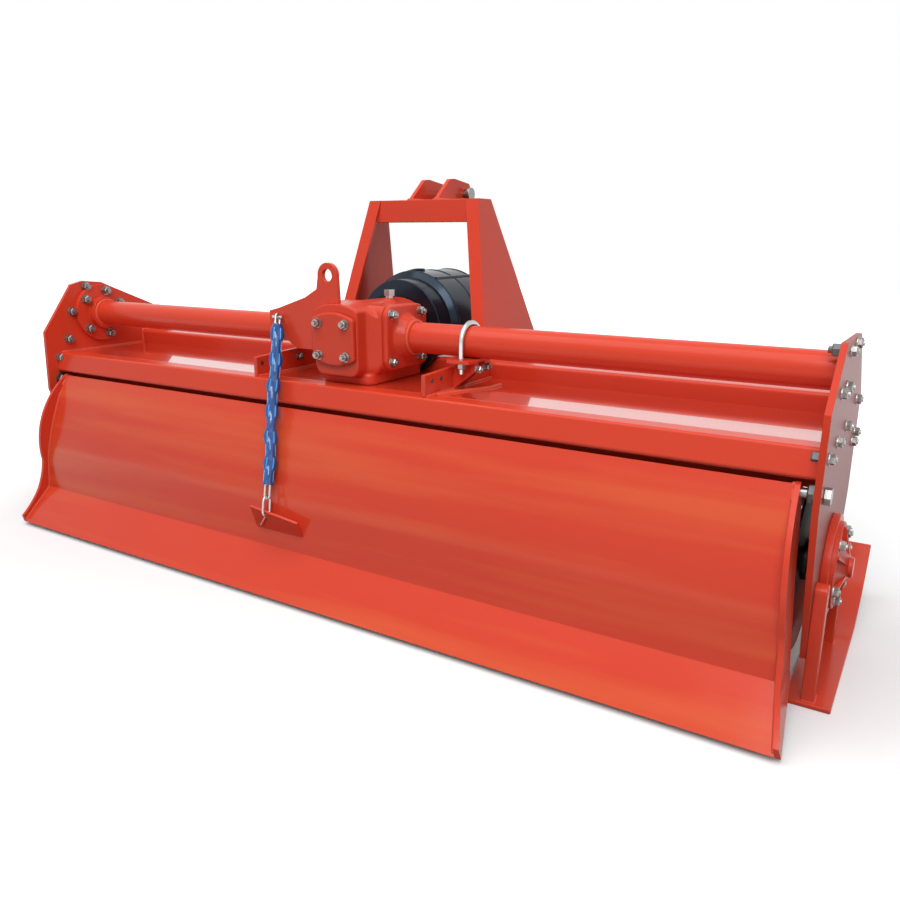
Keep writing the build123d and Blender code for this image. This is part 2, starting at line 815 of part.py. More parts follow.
board_wide = board_half + board_flare
with BuildPart() as rear_board:
    with BuildSketch(side_plane(-board_wide)):
        with BuildLine():
            ThreePointArc(yz(*board_top), yz(*board_bulge), yz(*board_low))
            Line(yz(*board_low), yz(*board_bend))
            Line(yz(*board_bend), yz(*board_lip))
        trace(line_width=board_t)
    extrude(amount=2 * board_wide)
    with BuildSketch(rear_plane(beam_front_y)):
        with BuildLine():
            Polyline(*board_end(-1, -end_plate_t), *reversed(board_end(1, -end_plate_t)), close=True)
        make_face()
    extrude(amount=board_reach, mode=Mode.INTERSECT)
save(rear_board, "rear_board")

# outline of an end plate, dy and dz: down its rear edge, round the lip and up its front edge
end_rear = [(-178, -190), (-256, -295), (-270, -440), (-300, -545), (-board_reach, -608)]
end_lip = [(-board_reach, -608), (-board_reach + 8, -631), (-200, -545), (-192, -420)]
end_front = [(-192, -420), (-170, -300), (-142, -206)]


def board_end_plate(side):
    with BuildPart() as plate:
        with BuildSketch(side_plane(side * (board_half - end_plate_t))):
            with BuildLine():
                ThreePointArc([yz(*place) for place in end_rear[:3]])
                ThreePointArc([yz(*place) for place in end_rear[2:]])
                Polyline([yz(*place) for place in end_lip])
                ThreePointArc([yz(*place) for place in end_front])
                Line(yz(*end_front[-1]), yz(*end_rear[0]))
            make_face()
            with Locations(yz(*pivot)):
                Circle(pivot_boss_r)
                Circle(pivot_d / 2 + running, mode=Mode.SUBTRACT)
        extrude(amount=side * (end_plate_t + board_flare))
        with BuildSketch(rear_plane(beam_front_y)):
            with BuildLine():
                Polyline(*board_end(side, -end_plate_t), *reversed(board_end(side, 0)), close=True)
            make_face()
        extrude(amount=board_reach, mode=Mode.INTERSECT)
    return plate


save(board_end_plate(-1), "board_end_plate_left")
save(board_end_plate(1), "board_end_plate_right")

with BuildPart() as board_pivots:
    for side in (-1, 1):
        with BuildSketch(side_plane(side * (board_half - end_plate_t - 8))):
            with Locations(yz(*pivot)):
                Circle(pivot_d / 2)
        extrude(amount=side * (end_plate_t + 8 + board_gap + plate_t + 4))
        with BuildSketch(side_plane(side * (plate_out + 1))):
            with Locations(yz(*pivot)):
                RegularPolygon(17, 6)
        extrude(amount=side * 12)
save(board_pivots, "board_pivots")

# lug for the chain: a plate that leans out from the straight lower part of the board
lug_x = -105
lug_foot = (-77, 77)
lug_left = (-66, 68)        # top corners: across from lug_x, and up the plate
lug_right = (80, 42)
lug_t = 6
lug_lean = 30               # degrees out from the board
lug_down = 59               # foot of the lug, from the end of the board's curve
lug_hole_r = 8
lug_rim = 5                 # from the hole to the top edge
hold_x = -122
low_run = math.dist(board_low, board_bend)
board_up = ((board_low[0] - board_bend[0]) / low_run, (board_low[1] - board_bend[1]) / low_run)
board_out = (-board_up[1], board_up[0])
lean_cos = math.cos(math.radians(lug_lean))
lean_sin = math.sin(math.radians(lug_lean))
lug_up = (
    board_up[0] * lean_cos + board_out[0] * lean_sin,
    board_up[1] * lean_cos + board_out[1] * lean_sin,
)
lug_out = (-lug_up[1], lug_up[0])
lug_seat = (
    board_low[0] - lug_down * board_up[0] + (board_t + lug_t) / 2 * board_out[0],
    board_low[1] - lug_down * board_up[1] + (board_t + lug_t) / 2 * board_out[1],
)


def on_lug(up, out=0):
    """Place in a side view: up the lug from its foot, and off its middle plane."""
    return (
        lug_seat[0] + up * lug_up[0] + out * lug_out[0],
        lug_seat[1] + up * lug_up[1] + out * lug_out[1],
    )


edge_share = (hold_x - lug_x - lug_left[0]) / (lug_right[0] - lug_left[0])
edge_up = lug_left[1] + edge_share * (lug_right[1] - lug_left[1])
hole_up = edge_up - lug_rim - lug_hole_r
lug_plane = Plane(
    origin=(lug_x, *yz(*lug_seat)), x_dir=(1, 0, 0), z_dir=(0, *lug_out),
)
with BuildPart() as board_lug:
    with BuildSketch(lug_plane):
        with BuildLine():
            Polyline(
                (lug_foot[0], -lug_t), (lug_foot[1], -lug_t), (lug_foot[1], 0), lug_right, lug_left,
                (lug_foot[0], 0), close=True,
            )
        make_face()
        with Locations((hold_x - lug_x, hole_up)):
            Circle(lug_hole_r, mode=Mode.SUBTRACT)
    extrude(amount=lug_t / 2, both=True)
    add(rear_board.part, mode=Mode.SUBTRACT)
save(board_lug, "board_lug")

# ================= chain =================
# It hangs in two runs that fold at an elbow.  Places on it are measured down from the anchor pin.
link_wire = 6
link_inner_w = 10
link_count = 14
upper_count = 8
last_inner_len = 36
ring_wire = 6
ring_inner_w = 18
ring_inner_len = 44
ring_slack = 2.2
tail_down = 38
tail_across = -38
sleeve_d = 27
sleeve_wall = 1.6
sleeve_from = 22
elbow_gap = 11              # from the elbow to the end of each sleeve
pin_seat = 0.5
pin_y = lift_y - lift_t - 12
pin_x = anchor_x + 20
top = Vector(pin_x, *yz(pin_y, anchor_z))
hold = Vector(hold_x, *yz(*on_lug(edge_up - lug_rim / 2)))
chain_dir = (hold - top).normalized()
flat_normal = (Vector(1, 0, 0) - chain_dir * chain_dir.X).normalized()
cross_normal = flat_normal.cross(chain_dir).normalized()

ring_foot = (hold - top).length + ring_inner_w / 2 - ring_slack
ring_top = ring_foot - ring_inner_len
links_from = -anchor_d / 2 - pin_seat
link_pitch = (ring_top + seat - last_inner_len - links_from) / (link_count - 1)
link_inner_len = link_pitch + seat
elbow = links_from + upper_count * link_pitch + seat + link_wire / 2


def wire_ring(inner_len, inner_w, wire):
    """Link or ring of bent wire, lying flat with its long way along X."""
    straight = (inner_len - inner_w) / 2
    with BuildPart() as ring:
        with BuildSketch():
            for radius, mode in ((inner_w / 2 + wire, Mode.ADD), (inner_w / 2, Mode.SUBTRACT)):
                bend = half_turn(radius, bend_facets)
                with BuildLine():
                    Polyline(
                        *[(straight + along, across) for along, across in bend],
                        *[(-straight - along, -across) for along, across in bend], close=True,
                    )
                make_face(mode=mode)
        extrude(amount=wire / 2, both=True)
        bevel_wire(ring, Axis.Z, wire)
    return ring.part


def on_chain(middle, normal):
    """Frame for a link: its middle down the chain and the way its flat side faces."""
    return Plane(origin=top + chain_dir * middle, x_dir=chain_dir, z_dir=normal).location


def link_run(first, end):
    """Links from one number up to another, each turned square to the one before it."""
    with BuildPart() as run:
        for k in range(first, end):
            inner_len = last_inner_len if k == link_count - 1 else link_inner_len
            normal = flat_normal if k % 2 == 0 else cross_normal
            place = on_chain(links_from + k * link_pitch + inner_len / 2, normal)
            add(place * wire_ring(inner_len, link_inner_w, link_wire))
    return run


def sleeve(begin, end):
    with BuildPart() as tube:
        with BuildSketch(Plane(origin=top + chain_dir * begin, x_dir=(1, 0, 0), z_dir=chain_dir)):
            Circle(sleeve_d / 2)
            Circle(sleeve_d / 2 - sleeve_wall, mode=Mode.SUBTRACT)
        extrude(amount=end - begin)
    return tube


save(link_run(0, upper_count), "chain_links_upper")
save(link_run(upper_count, link_count), "chain_links_lower")
save(sleeve(sleeve_from, elbow - elbow_gap), "chain_sleeve_upper")
save(sleeve(elbow + elbow_gap, ring_top - last_inner_len + 4), "chain_sleeve_lower")

# open hook through the lug: a ring whose end runs on down the lug's face
tail_plane_out = lug_t / 2 + ring_wire / 2 + 1
with BuildPart() as chain_hook:
    add(on_chain(ring_foot - ring_inner_len / 2, flat_normal) * wire_ring(ring_inner_len, ring_inner_w, ring_wire))
    ring_low = top + chain_dir * (ring_foot + ring_wire / 2)
    tail_end = Vector(hold_x + tail_across, *yz(*on_lug(hole_up - tail_down, tail_plane_out)))
    with BuildSketch(Plane(origin=ring_low, z_dir=tail_end - ring_low)):
        RegularPolygon(ring_wire / 2, 8)
    extrude(amount=(tail_end - ring_low).length)
save(chain_hook, "chain_hook")

# hook bolt in the lifting plate: through the plate, then across under the first link
anchor_bend_r = 7
anchor_nut_t = 7
with BuildPart() as chain_anchor:
    with BuildLine() as run:
        FilletPolyline(
            (anchor_x, *yz(lift_y + 12, anchor_z)), (anchor_x, *yz(pin_y, anchor_z)),
            (pin_x + 16, *yz(pin_y, anchor_z)), radius=anchor_bend_r,
        )
    with BuildSketch(rear_plane(lift_y + 12)):
        with Locations(xz(anchor_x, anchor_z)):
            Circle(anchor_d / 2)
    sweep(path=run.line)
    with BuildSketch(rear_plane(lift_y + anchor_nut_t)):
        with Locations(xz(anchor_x, anchor_z)):
            RegularPolygon(8, 6)
    extrude(amount=anchor_nut_t)
save(chain_anchor, "chain_anchor")

print("anchor", [round(v, 2) for v in top])
print("elbow", [round(v, 2) for v in top + chain_dir * elbow])
print("ring top", [round(v, 2) for v in top + chain_dir * ring_top], "link", round(link_inner_len, 2))
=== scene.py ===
import json
import math

import bmesh
import bpy
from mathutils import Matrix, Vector


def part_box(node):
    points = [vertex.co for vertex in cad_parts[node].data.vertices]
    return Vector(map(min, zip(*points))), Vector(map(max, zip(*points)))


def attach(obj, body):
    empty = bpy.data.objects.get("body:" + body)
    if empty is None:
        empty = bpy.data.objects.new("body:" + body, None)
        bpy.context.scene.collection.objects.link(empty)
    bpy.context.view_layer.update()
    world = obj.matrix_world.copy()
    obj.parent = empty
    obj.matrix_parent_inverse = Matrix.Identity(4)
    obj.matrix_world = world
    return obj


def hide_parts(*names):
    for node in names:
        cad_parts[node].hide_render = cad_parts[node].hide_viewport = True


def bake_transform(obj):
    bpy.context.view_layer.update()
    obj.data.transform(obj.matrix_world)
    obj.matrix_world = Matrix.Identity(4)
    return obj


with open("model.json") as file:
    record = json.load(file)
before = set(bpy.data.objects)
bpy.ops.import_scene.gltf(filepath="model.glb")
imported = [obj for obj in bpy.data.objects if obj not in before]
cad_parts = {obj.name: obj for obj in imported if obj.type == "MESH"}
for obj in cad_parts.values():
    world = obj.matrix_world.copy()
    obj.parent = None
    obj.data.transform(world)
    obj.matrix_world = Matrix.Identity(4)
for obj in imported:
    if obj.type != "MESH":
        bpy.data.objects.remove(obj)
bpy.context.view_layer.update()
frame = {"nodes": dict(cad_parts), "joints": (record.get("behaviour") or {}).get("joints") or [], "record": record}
record = frame["record"]
nodes = frame["nodes"]
slotOfNode = {part["node"]: part["material_slot"] for part in record["subparts"]}
bodyOfNode = {node: body for body, members in record["behaviour"]["bodies"].items() for node in members}
jointPlace = {joint["name"]: Vector(joint["pos_m"]) for joint in frame["joints"]}
print("frame loaded:", len(nodes), "nodes")


def low(node):
    return Vector(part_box(node)[0])


def high(node):
    return Vector(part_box(node)[1])


def middle(node):
    return (low(node) + high(node)) / 2


tubeAxis = middle("cross_tube_left")
plateOut = high("side_plate_right").x
plateIn = low("side_plate_right").x  # inner face of the right side plate
xAxis, yAxis, zAxis = Vector((1, 0, 0)), Vector((0, 1, 0)), Vector((0, 0, 1))


def at(x, dy, dz):  # a place given from the cross tube's axis
    return Vector((x, tubeAxis.y + dy, tubeAxis.z + dz))


def arcPath(centre, radius, fromDeg, toDeg, steps, toward, across):
    turns = [math.radians(fromDeg + (toDeg - fromDeg) * k / steps) for k in range(steps + 1)]
    return [centre + toward * (radius * math.cos(t)) + across * (radius * math.sin(t)) for t in turns]


# shader groups and finishes
def addNode(tree, kind, values=None, **fields):
    node = tree.nodes.new(kind)
    for name, value in fields.items():
        setattr(node, name, value)
    for name, value in (values or {}).items():
        node.inputs[name].default_value = value
    return node


def newShaderGroup(name, inputs, outputs):
    group = bpy.data.node_groups.new(name, "ShaderNodeTree")
    for label, kind, value in inputs:
        group.interface.new_socket(label, in_out="INPUT", socket_type=kind).default_value = value
    for label, kind in outputs:
        group.interface.new_socket(label, in_out="OUTPUT", socket_type=kind)
    return group, group.nodes.new("NodeGroupInput"), group.nodes.new("NodeGroupOutput")


def buildSkinGroup():  # broad colour drift, patchy gloss, soft dents and fine orange peel
    group, start, end = newShaderGroup(
        "paintSkin",
        [("Colour", "NodeSocketColor", (0.7, 0.08, 0.03, 1)), ("Gloss", "NodeSocketFloat", 0.2),
         ("Peel", "NodeSocketFloat", 0.1), ("Peel Size", "NodeSocketFloat", 90.0),
         ("Drift", "NodeSocketFloat", 0.15), ("Dent", "NodeSocketFloat", 0.1)],
        [("Colour", "NodeSocketColor"), ("Roughness", "NodeSocketFloat"), ("Normal", "NodeSocketVector")])
    link = group.links.new
    place = group.nodes.new("ShaderNodeTexCoord").outputs["Object"]
    wave = addNode(group, "ShaderNodeTexNoise", {"Scale": 7.0, "Detail": 1.0})
    fine = addNode(group, "ShaderNodeTexNoise", {"Detail": 2.0})
    broad = addNode(group, "ShaderNodeTexNoise", {"Scale": 3.0, "Detail": 4.0})
    for noise in (wave, fine, broad):
        link(place, noise.inputs["Vector"])
    link(start.outputs["Peel Size"], fine.inputs["Scale"])
    soft = addNode(group, "ShaderNodeBump", {"Distance": 0.006})
    link(start.outputs["Dent"], soft.inputs["Strength"])
    link(wave.outputs["Fac"], soft.inputs["Height"])
    bump = addNode(group, "ShaderNodeBump", {"Distance": 0.001})
    link(start.outputs["Peel"], bump.inputs["Strength"])
    link(fine.outputs["Fac"], bump.inputs["Height"])
    link(soft.outputs["Normal"], bump.inputs["Normal"])
    link(bump.outputs["Normal"], end.inputs["Normal"])
    darker = addNode(group, "ShaderNodeHueSaturation", {"Value": 0.74, "Saturation": 1.04})
    link(start.outputs["Colour"], darker.inputs["Color"])
    amount = addNode(group, "ShaderNodeMath", operation="MULTIPLY")
    link(broad.outputs["Fac"], amount.inputs[0])
    link(start.outputs["Drift"], amount.inputs[1])
    tint = addNode(group, "ShaderNodeMix", data_type="RGBA")
    link(amount.outputs[0], tint.inputs["Factor"])
    link(start.outputs["Colour"], tint.inputs["A"])
    link(darker.outputs["Color"], tint.inputs["B"])
    link(tint.outputs["Result"], end.inputs["Colour"])
    rough = addNode(group, "ShaderNodeMath", {1: 0.08}, operation="MULTIPLY_ADD")
    link(broad.outputs["Fac"], rough.inputs[0])
    link(start.outputs["Gloss"], rough.inputs[2])
    link(rough.outputs[0], end.inputs["Roughness"])
    return group


skinGroup = buildSkinGroup()


def finish(name, colour, gloss, peel, peelSize, drift=0.2, dent=0.0, **plain):
    material = bpy.data.materials.new(name)
    material.use_nodes = True
    tree = material.node_tree
    shader = tree.nodes["Principled BSDF"]
    given = {"Colour": (*colour, 1), "Gloss": gloss, "Peel": peel, "Peel Size": peelSize, "Drift": drift,
             "Dent": dent}
    skin = addNode(tree, "ShaderNodeGroup", given, node_tree=skinGroup)
    for label, value in plain.items():
        shader.inputs[label.replace("_", " ")].default_value = value
    tree.links.new(skin.outputs["Colour"], shader.inputs["Base Color"])
    tree.links.new(skin.outputs["Roughness"], shader.inputs["Roughness"])
    tree.links.new(skin.outputs["Normal"], shader.inputs["Normal"])
    return material


enamelRed = (0.66, 0.055, 0.024)
coated = {"Specular_IOR_Level": 0.18, "Coat_Weight": 0.08, "Coat_Roughness": 0.06}
finishes = {
    "orange_paint": finish("orangePaint", enamelRed, gloss=0.2, peel=0.06, peelSize=170.0, dent=0.1,
                           **coated),
    "casting_paint": finish("castingPaint", (0.62, 0.05, 0.022), gloss=0.26, peel=0.55, peelSize=130.0,
                            dent=0.25, **coated),
    "black_guard": finish("guardPlastic", (0.007, 0.009, 0.015), gloss=0.16, peel=0.04, peelSize=120.0,
                          dent=0.2, Specular_IOR_Level=0.35, Specular_Tint=(0.55, 0.75, 1, 1)),
    "zinc": finish("zincPlate", (0.6, 0.61, 0.6), gloss=0.24, peel=0.1, peelSize=300.0, drift=0.6,
                   Metallic=1.0),
    "black_paint": finish("blackPaint", (0.016, 0.016, 0.018), gloss=0.34, peel=0.15, peelSize=150.0,
                          Coat_Weight=0.2),
    "shaft_steel": finish("shaftSteel", (0.5, 0.5, 0.49), gloss=0.28, peel=0.1, peelSize=240.0,
                          Metallic=1.0),
    "chain_blue": finish("sleevePlastic", (0.0, 0.085, 0.36), gloss=0.05, peel=0.15, peelSize=160.0,
                         Alpha=0.82, Coat_Weight=0.5),
}
deckPaint = finish("deckPaint", enamelRed, gloss=0.12, peel=0.02, peelSize=60.0, dent=0.12, Coat_Weight=1.0,
                   Coat_Roughness=0.015, Coat_IOR=2.1)
beadPaint = finish("beadPaint", (0.7, 0.09, 0.045), gloss=0.22, peel=0.4, peelSize=300.0, **coated)
boltSteel = finish("boltSteel", (0.33, 0.32, 0.31), gloss=0.3, peel=0.2, peelSize=400.0, drift=0.8,
                   Metallic=1.0)
# painted highlight: a lighter blue than the sleeve, for the bright ovals where the plastic is stretched over the
# links
sleeveRidgeHighlight = finish("sleeveRidgeHighlight", (0.04, 0.36, 0.8), gloss=0.08, peel=0.1, peelSize=160.0, Coat_Weight=0.6)
coveredZinc = finish("coveredZinc", (0.5, 0.95, 1.0), gloss=0.16, peel=0.1, peelSize=300.0, drift=0.3,
                     Metallic=0.8)
# dark steel for nuts, plugs and blade bolts, also used as the painted shade of the holes in the deck ribs
darkSteelAndHoleShade = finish("darkSteelAndHoleShade", (0.12, 0.12, 0.12), gloss=0.35, peel=0.2, peelSize=400.0, drift=0.5,
                   Metallic=0.8)


def paintOf(material):  # the tree, its shader and the colour that feeds it so far
    tree = material.node_tree
    shader = tree.nodes["Principled BSDF"]
    return tree, shader, shader.inputs["Base Color"].links[0].from_socket


def paintedEdgeOnReflection(material, colour, sharpness):  # painted reflection: a dull grey-brown mixed into the paint where the plate is seen nearly edge-on, standing in for the dark surroundings that the plate reflects
    tree, shader, paint = paintOf(material)
    facing = addNode(tree, "ShaderNodeLayerWeight", {"Blend": sharpness})
    mix = addNode(tree, "ShaderNodeMix", {"B": (*colour, 1)}, data_type="RGBA")
    tree.links.new(facing.outputs["Facing"], mix.inputs["Factor"])
    tree.links.new(paint, mix.inputs["A"])
    tree.links.new(mix.outputs["Result"], shader.inputs["Base Color"])
    return material


def buildPaintedSheenGroup():  # painted sheen: long soft bands of a warmer tint across the pressed sheet of the board, standing in for the wavy reflections of the bent sheet
    group, start, end = newShaderGroup(
        "paintedSheenBands",
        [("Colour", "NodeSocketColor", (0.6, 0.05, 0.02, 1)), ("Amount", "NodeSocketFloat", 0.3)],
        [("Colour", "NodeSocketColor")])
    link = group.links.new
    stretch = addNode(group, "ShaderNodeVectorMath", {1: (0.5, 1.0, 9.0)}, operation="MULTIPLY")
    link(group.nodes.new("ShaderNodeTexCoord").outputs["Object"], stretch.inputs[0])
    sheenStreaks = addNode(group, "ShaderNodeTexNoise", {"Scale": 1.6, "Detail": 3.0})
    link(stretch.outputs[0], sheenStreaks.inputs["Vector"])
    spread = addNode(group, "ShaderNodeMapRange", {"From Min": 0.48, "From Max": 0.68})
    link(sheenStreaks.outputs["Fac"], spread.inputs["Value"])
    amount = addNode(group, "ShaderNodeMath", operation="MULTIPLY")
    link(spread.outputs["Result"], amount.inputs[0])
    link(start.outputs["Amount"], amount.inputs[1])
    sheenTint = addNode(group, "ShaderNodeMix", {"B": (0.74, 0.15, 0.045, 1)}, data_type="RGBA")
    link(amount.outputs[0], sheenTint.inputs["Factor"])
    link(start.outputs["Colour"], sheenTint.inputs["A"])
    link(sheenTint.outputs["Result"], end.inputs["Colour"])
    return group


def withPaintedSheen(material, amount):
    tree, shader, paint = paintOf(material)
    sheenStreaks = addNode(tree, "ShaderNodeGroup", node_tree=buildPaintedSheenGroup())
    sheenStreaks.inputs["Amount"].default_value = amount
    tree.links.new(paint, sheenStreaks.inputs["Colour"])
    tree.links.new(sheenStreaks.outputs["Colour"], shader.inputs["Base Color"])
    return material


# the right side plate's paint, with a painted reflection of dark surroundings at grazing angles
plateWithPaintedReflection = paintedEdgeOnReflection(finish("plateWithPaintedReflection", enamelRed, gloss=0.34, peel=0.06, peelSize=170.0,
                               Specular_IOR_Level=0.1),
                        colour=(0.15, 0.085, 0.085), sharpness=0.22)
# the rear board's paint, with painted sheen bands
boardPaintWithSheen = withPaintedSheen(finish("boardPaintWithSheen", enamelRed, gloss=0.16, peel=0.04, peelSize=120.0, dent=0.35,
                           Specular_IOR_Level=0.2, Coat_Weight=0.12, Coat_Roughness=0.04),
                    amount=0.38)
finishOfNode = {name: finishes[slot] for name, slot in slotOfNode.items()}
finishOfNode.update({"deck": deckPaint, "side_plate_right": plateWithPaintedReflection, "rear_board": boardPaintWithSheen,
                     "top_link_pin": boltSteel, "board_pivots": boltSteel})
for name, node in nodes.items():
    node.data.materials.clear()
    node.data.materials.append(finishOfNode[name])
print("finishes on the frame")


def newPiece(name, mesh, body, material=None):
    piece = bpy.data.objects.new(name, mesh)
    bpy.context.scene.collection.objects.link(piece)
    if material is not None:
        mesh.materials.clear()
        mesh.materials.append(material)
    if body is not None:
        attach(piece, body)
    return piece


# plates and bars: the same shapes with rounded edges
rounding = {
    "segments": 2, "sharperThan": 32, "flatWithin": 0.5, "sameWithin": 0.00002,
    "widths": {  # width of the rounded edge, in metres, and the nodes that have it
        0.0022: ["side_plate_left", "side_plate_right", "hitch_leg_left", "hitch_leg_right", "hitch_top_bar",
                 "top_link_ears", "lifting_plate", "deck_ribs", "tube_saddle", "skid_left", "skid_right",
                 "lower_hitch_bracket_left", "lower_hitch_bracket_right", "rotor_bearing_flange"],
        0.0012: ["rear_beam", "rear_board", "board_lug", "board_end_plate_left", "board_end_plate_right",
                 "deck", "front_beam", "blades_left_hand", "blades_right_hand", "rotor_flanges",
                 "board_pivots", "breather_plug", "top_link_pin", "lower_hitch_pins", "cross_tube_left",
                 "cross_tube_right", "rotor_tube", "pto_shaft", "pto_guard"],
    },
}


def mergedCopy(node, flatten):
    work = bmesh.new()
    work.from_mesh(nodes[node].data)
    bmesh.ops.remove_doubles(work, verts=work.verts, dist=rounding["sameWithin"])
    if flatten:
        bmesh.ops.dissolve_limit(work, angle_limit=math.radians(rounding["flatWithin"]), verts=work.verts,
                                 edges=work.edges)
    mesh = bpy.data.meshes.new(node + ".copy")
    work.to_mesh(mesh)
    work.free()
    mesh.shade_smooth()
    return mesh


def dress(node, mesh):
    piece = newPiece(node + ".dressed", mesh, bodyOfNode[node], finishOfNode[node])
    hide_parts(node)
    return piece


def roundEdges():
    for width, members in rounding["widths"].items():
        for node in members:
            piece = dress(node, mergedCopy(node, True))
            bevel = piece.modifiers.new("roundedEdge", "BEVEL")
            bevel.width = width
            bevel.segments = rounding["segments"]
            bevel.limit_method = "ANGLE"
            bevel.angle_limit = math.radians(rounding["sharperThan"])
            piece.modifiers.new("flatFaces", "WEIGHTED_NORMAL").keep_sharp = True


caseCover = {"setBack": 0.0073}


def setCoverBack():  # leaves room for the bolt heads inside the machine's width
    node = "side_gearcase_cover"
    mesh = mergedCopy(node, True)
    face = low(node).x + caseCover["setBack"]
    for vertex in mesh.vertices:
        vertex.co.x = max(vertex.co.x, face)
    dress(node, mesh)


roundEdges()
setCoverBack()
print("plates and bars rounded")

casting = {"grid": 0.0032, "softness": 0.5, "passes": 7,
           "nodes": ["gearbox_housing", "gearbox_flange_left", "gearbox_flange_right", "gearbox_rear_cover",
                     "side_gearcase"]}


def evaluated(draft):
    made = bpy.data.meshes.new_from_object(draft.evaluated_get(bpy.context.evaluated_depsgraph_get()))
    bpy.data.objects.remove(draft)
    return made


def castPiece(node):
    draft = bpy.data.objects.new(node + ".draft", mergedCopy(node, False))
    bpy.context.scene.collection.objects.link(draft)
    remesh = draft.modifiers.new("grid", "REMESH")
    remesh.mode = "VOXEL"
    remesh.voxel_size = casting["grid"]
    soften = draft.modifiers.new("soften", "SMOOTH")
    soften.factor = casting["softness"]
    soften.iterations = casting["passes"]
    mesh = evaluated(draft)
    mesh.shade_smooth()
    dress(node, mesh)


for node in casting["nodes"]:
    castPiece(node)
print("castings softened")

bearingCap = {"bore": 0.0265, "boreDepth": 0.020, "disc": 0.090, "discThick": 0.008, "coneFoot": 0.060,
              "coneTip": 0.023, "nose": 0.021, "noseFrom": 0.026, "edge": 0.0015, "sides": 48, "sharp": 30,
              "ribs": 6, "ribThick": 0.006, "ribSink": 0.001, "ribRoot": 0.004, "ribToEdge": 0.006,
              "ribShoulder": 0.008, "ribShoulderHeight": 0.004, "ribTip": 0.004, "ribTipRoot": 0.006}


def turnCap(work, centre, face, step, nose, tip):  # a disc, a cone and a stepped nose round the rotor's axis
    cap, sides = bearingCap, bearingCap["sides"]
    profile = [(face + cap["boreDepth"], 0), (face + cap["boreDepth"], cap["bore"]), (face, cap["bore"]),
               (face, cap["disc"]), (step - cap["edge"], cap["disc"]), (step, cap["disc"] - cap["edge"]),
               (step, cap["coneFoot"]), (nose, cap["coneTip"]), (nose, cap["nose"]),
               (tip - cap["edge"], cap["nose"]), (tip, cap["nose"] - cap["edge"]), (tip, 0)]
    rows = []
    for x, radius in profile:
        if radius == 0:
            rows.append([work.verts.new((x, centre.y, centre.z))] * sides)
            continue
        turns = [2 * math.pi * j / sides for j in range(sides)]
        rows.append([work.verts.new((x, centre.y + radius * math.cos(t), centre.z + radius * math.sin(t)))
                     for t in turns])
    for a, b in zip(rows, rows[1:]):
        for j in range(sides):
            k = (j + 1) % sides
            ring = []
            for vertex in (a[j], a[k], b[k], b[j]):
                if vertex not in ring:
                    ring.append(vertex)
            work.faces.new(ring)


def addCapRibs(work, centre, step, nose):
    cap = bearingCap
    foot, top = step - cap["ribSink"], nose - cap["ribSink"]
    corners = [(foot, cap["bore"] + cap["ribRoot"]), (foot, cap["disc"] - cap["ribToEdge"]),
               (step + cap["ribShoulderHeight"], cap["disc"] - cap["ribShoulder"]),
               (top, cap["nose"] + cap["ribTip"]), (top, cap["bore"] - cap["ribTipRoot"])]
    for j in range(cap["ribs"]):
        turn = 2 * math.pi * (j + 0.5) / cap["ribs"]
        outward = Vector((0, math.cos(turn), math.sin(turn)))
        across = Vector((0, -math.sin(turn), math.cos(turn))) * (cap["ribThick"] / 2)
        sheets = [[work.verts.new(Vector((x, centre.y, centre.z)) + outward * radius + across * way)
                   for x, radius in corners] for way in (-1, 1)]
        work.faces.new(sheets[0])
        work.faces.new(sheets[1])
        for m in range(len(corners)):
            n = (m + 1) % len(corners)
            work.faces.new((sheets[0][m], sheets[0][n], sheets[1][n], sheets[1][m]))


def buildBearingCap():
    face, tip = low("rotor_bearing_cap").x, high("rotor_bearing_cap").x
    centre = jointPlace["rotor_spin"]
    step, nose = face + bearingCap["discThick"], face + bearingCap["noseFrom"]
    work = bmesh.new()
    turnCap(work, centre, face, step, nose, tip)
    addCapRibs(work, centre, step, nose)
    bmesh.ops.recalc_face_normals(work, faces=work.faces)
    mesh = bpy.data.meshes.new("bearingCap")
    work.to_mesh(mesh)
    work.free()
    mesh.set_sharp_from_angle(angle=math.radians(bearingCap["sharp"]))
    dress("rotor_bearing_cap", mesh)


buildBearingCap()
print("bearing cap made")


# geometry node trees for fasteners and for rods
def newGeometryTree(name, inputs):
    tree = bpy.data.node_groups.new(name, "GeometryNodeTree")
    tree.interface.new_socket("Geometry", in_out="INPUT", socket_type="NodeSocketGeometry")
    for label, kind in inputs:
        tree.interface.new_socket(label, in_out="INPUT", socket_type=kind)
    tree.interface.new_socket("Geometry", in_out="OUTPUT", socket_type="NodeSocketGeometry")
    return tree, tree.nodes.new("NodeGroupInput"), tree.nodes.new("NodeGroupOutput")


def finishTree(tree, start, end, geometry):
    real = tree.nodes.new("GeometryNodeRealizeInstances")
    coat = tree.nodes.new("GeometryNodeSetMaterial")
    tree.links.new(geometry, real.inputs[0])
    tree.links.new(real.outputs[0], coat.inputs["Geometry"])
    tree.links.new(start.outputs["Finish"], coat.inputs["Material"])
    tree.links.new(coat.outputs[0], end.inputs[0])


def settle(name, points, edges, tree, values, body, facings=None):  # runs a tree and keeps its mesh
    mesh = bpy.data.meshes.new(name + ".draft")
    mesh.from_pydata(points, edges, [])
    if facings:
        facing = mesh.attributes.new("facing", "FLOAT_VECTOR", "POINT")
        for item, way in zip(facing.data, facings):
            item.vector = way
    draft = bpy.data.objects.new(name + ".draft", mesh)
    bpy.context.scene.collection.objects.link(draft)
    modifier = draft.modifiers.new("nodes", "NODES")
    modifier.node_group = tree
    for item in tree.interface.items_tree:
        if item.in_out == "INPUT" and item.name in values:
            modifier[item.identifier] = values[item.name]
    return newPiece(name, evaluated(draft), body)


fastener = {"washerSides": 20, "washerTaper": 0.97, "headSides": 6, "chamferShare": 0.2,
            "chamferTaper": 0.86, "stubSides": 10, "stubTaper": 0.9, "turn": 1.04, "seed": 7,
            "washerThick": 0.12, "stubRadius": 0.31}  # the last two are shares of the width across the flats


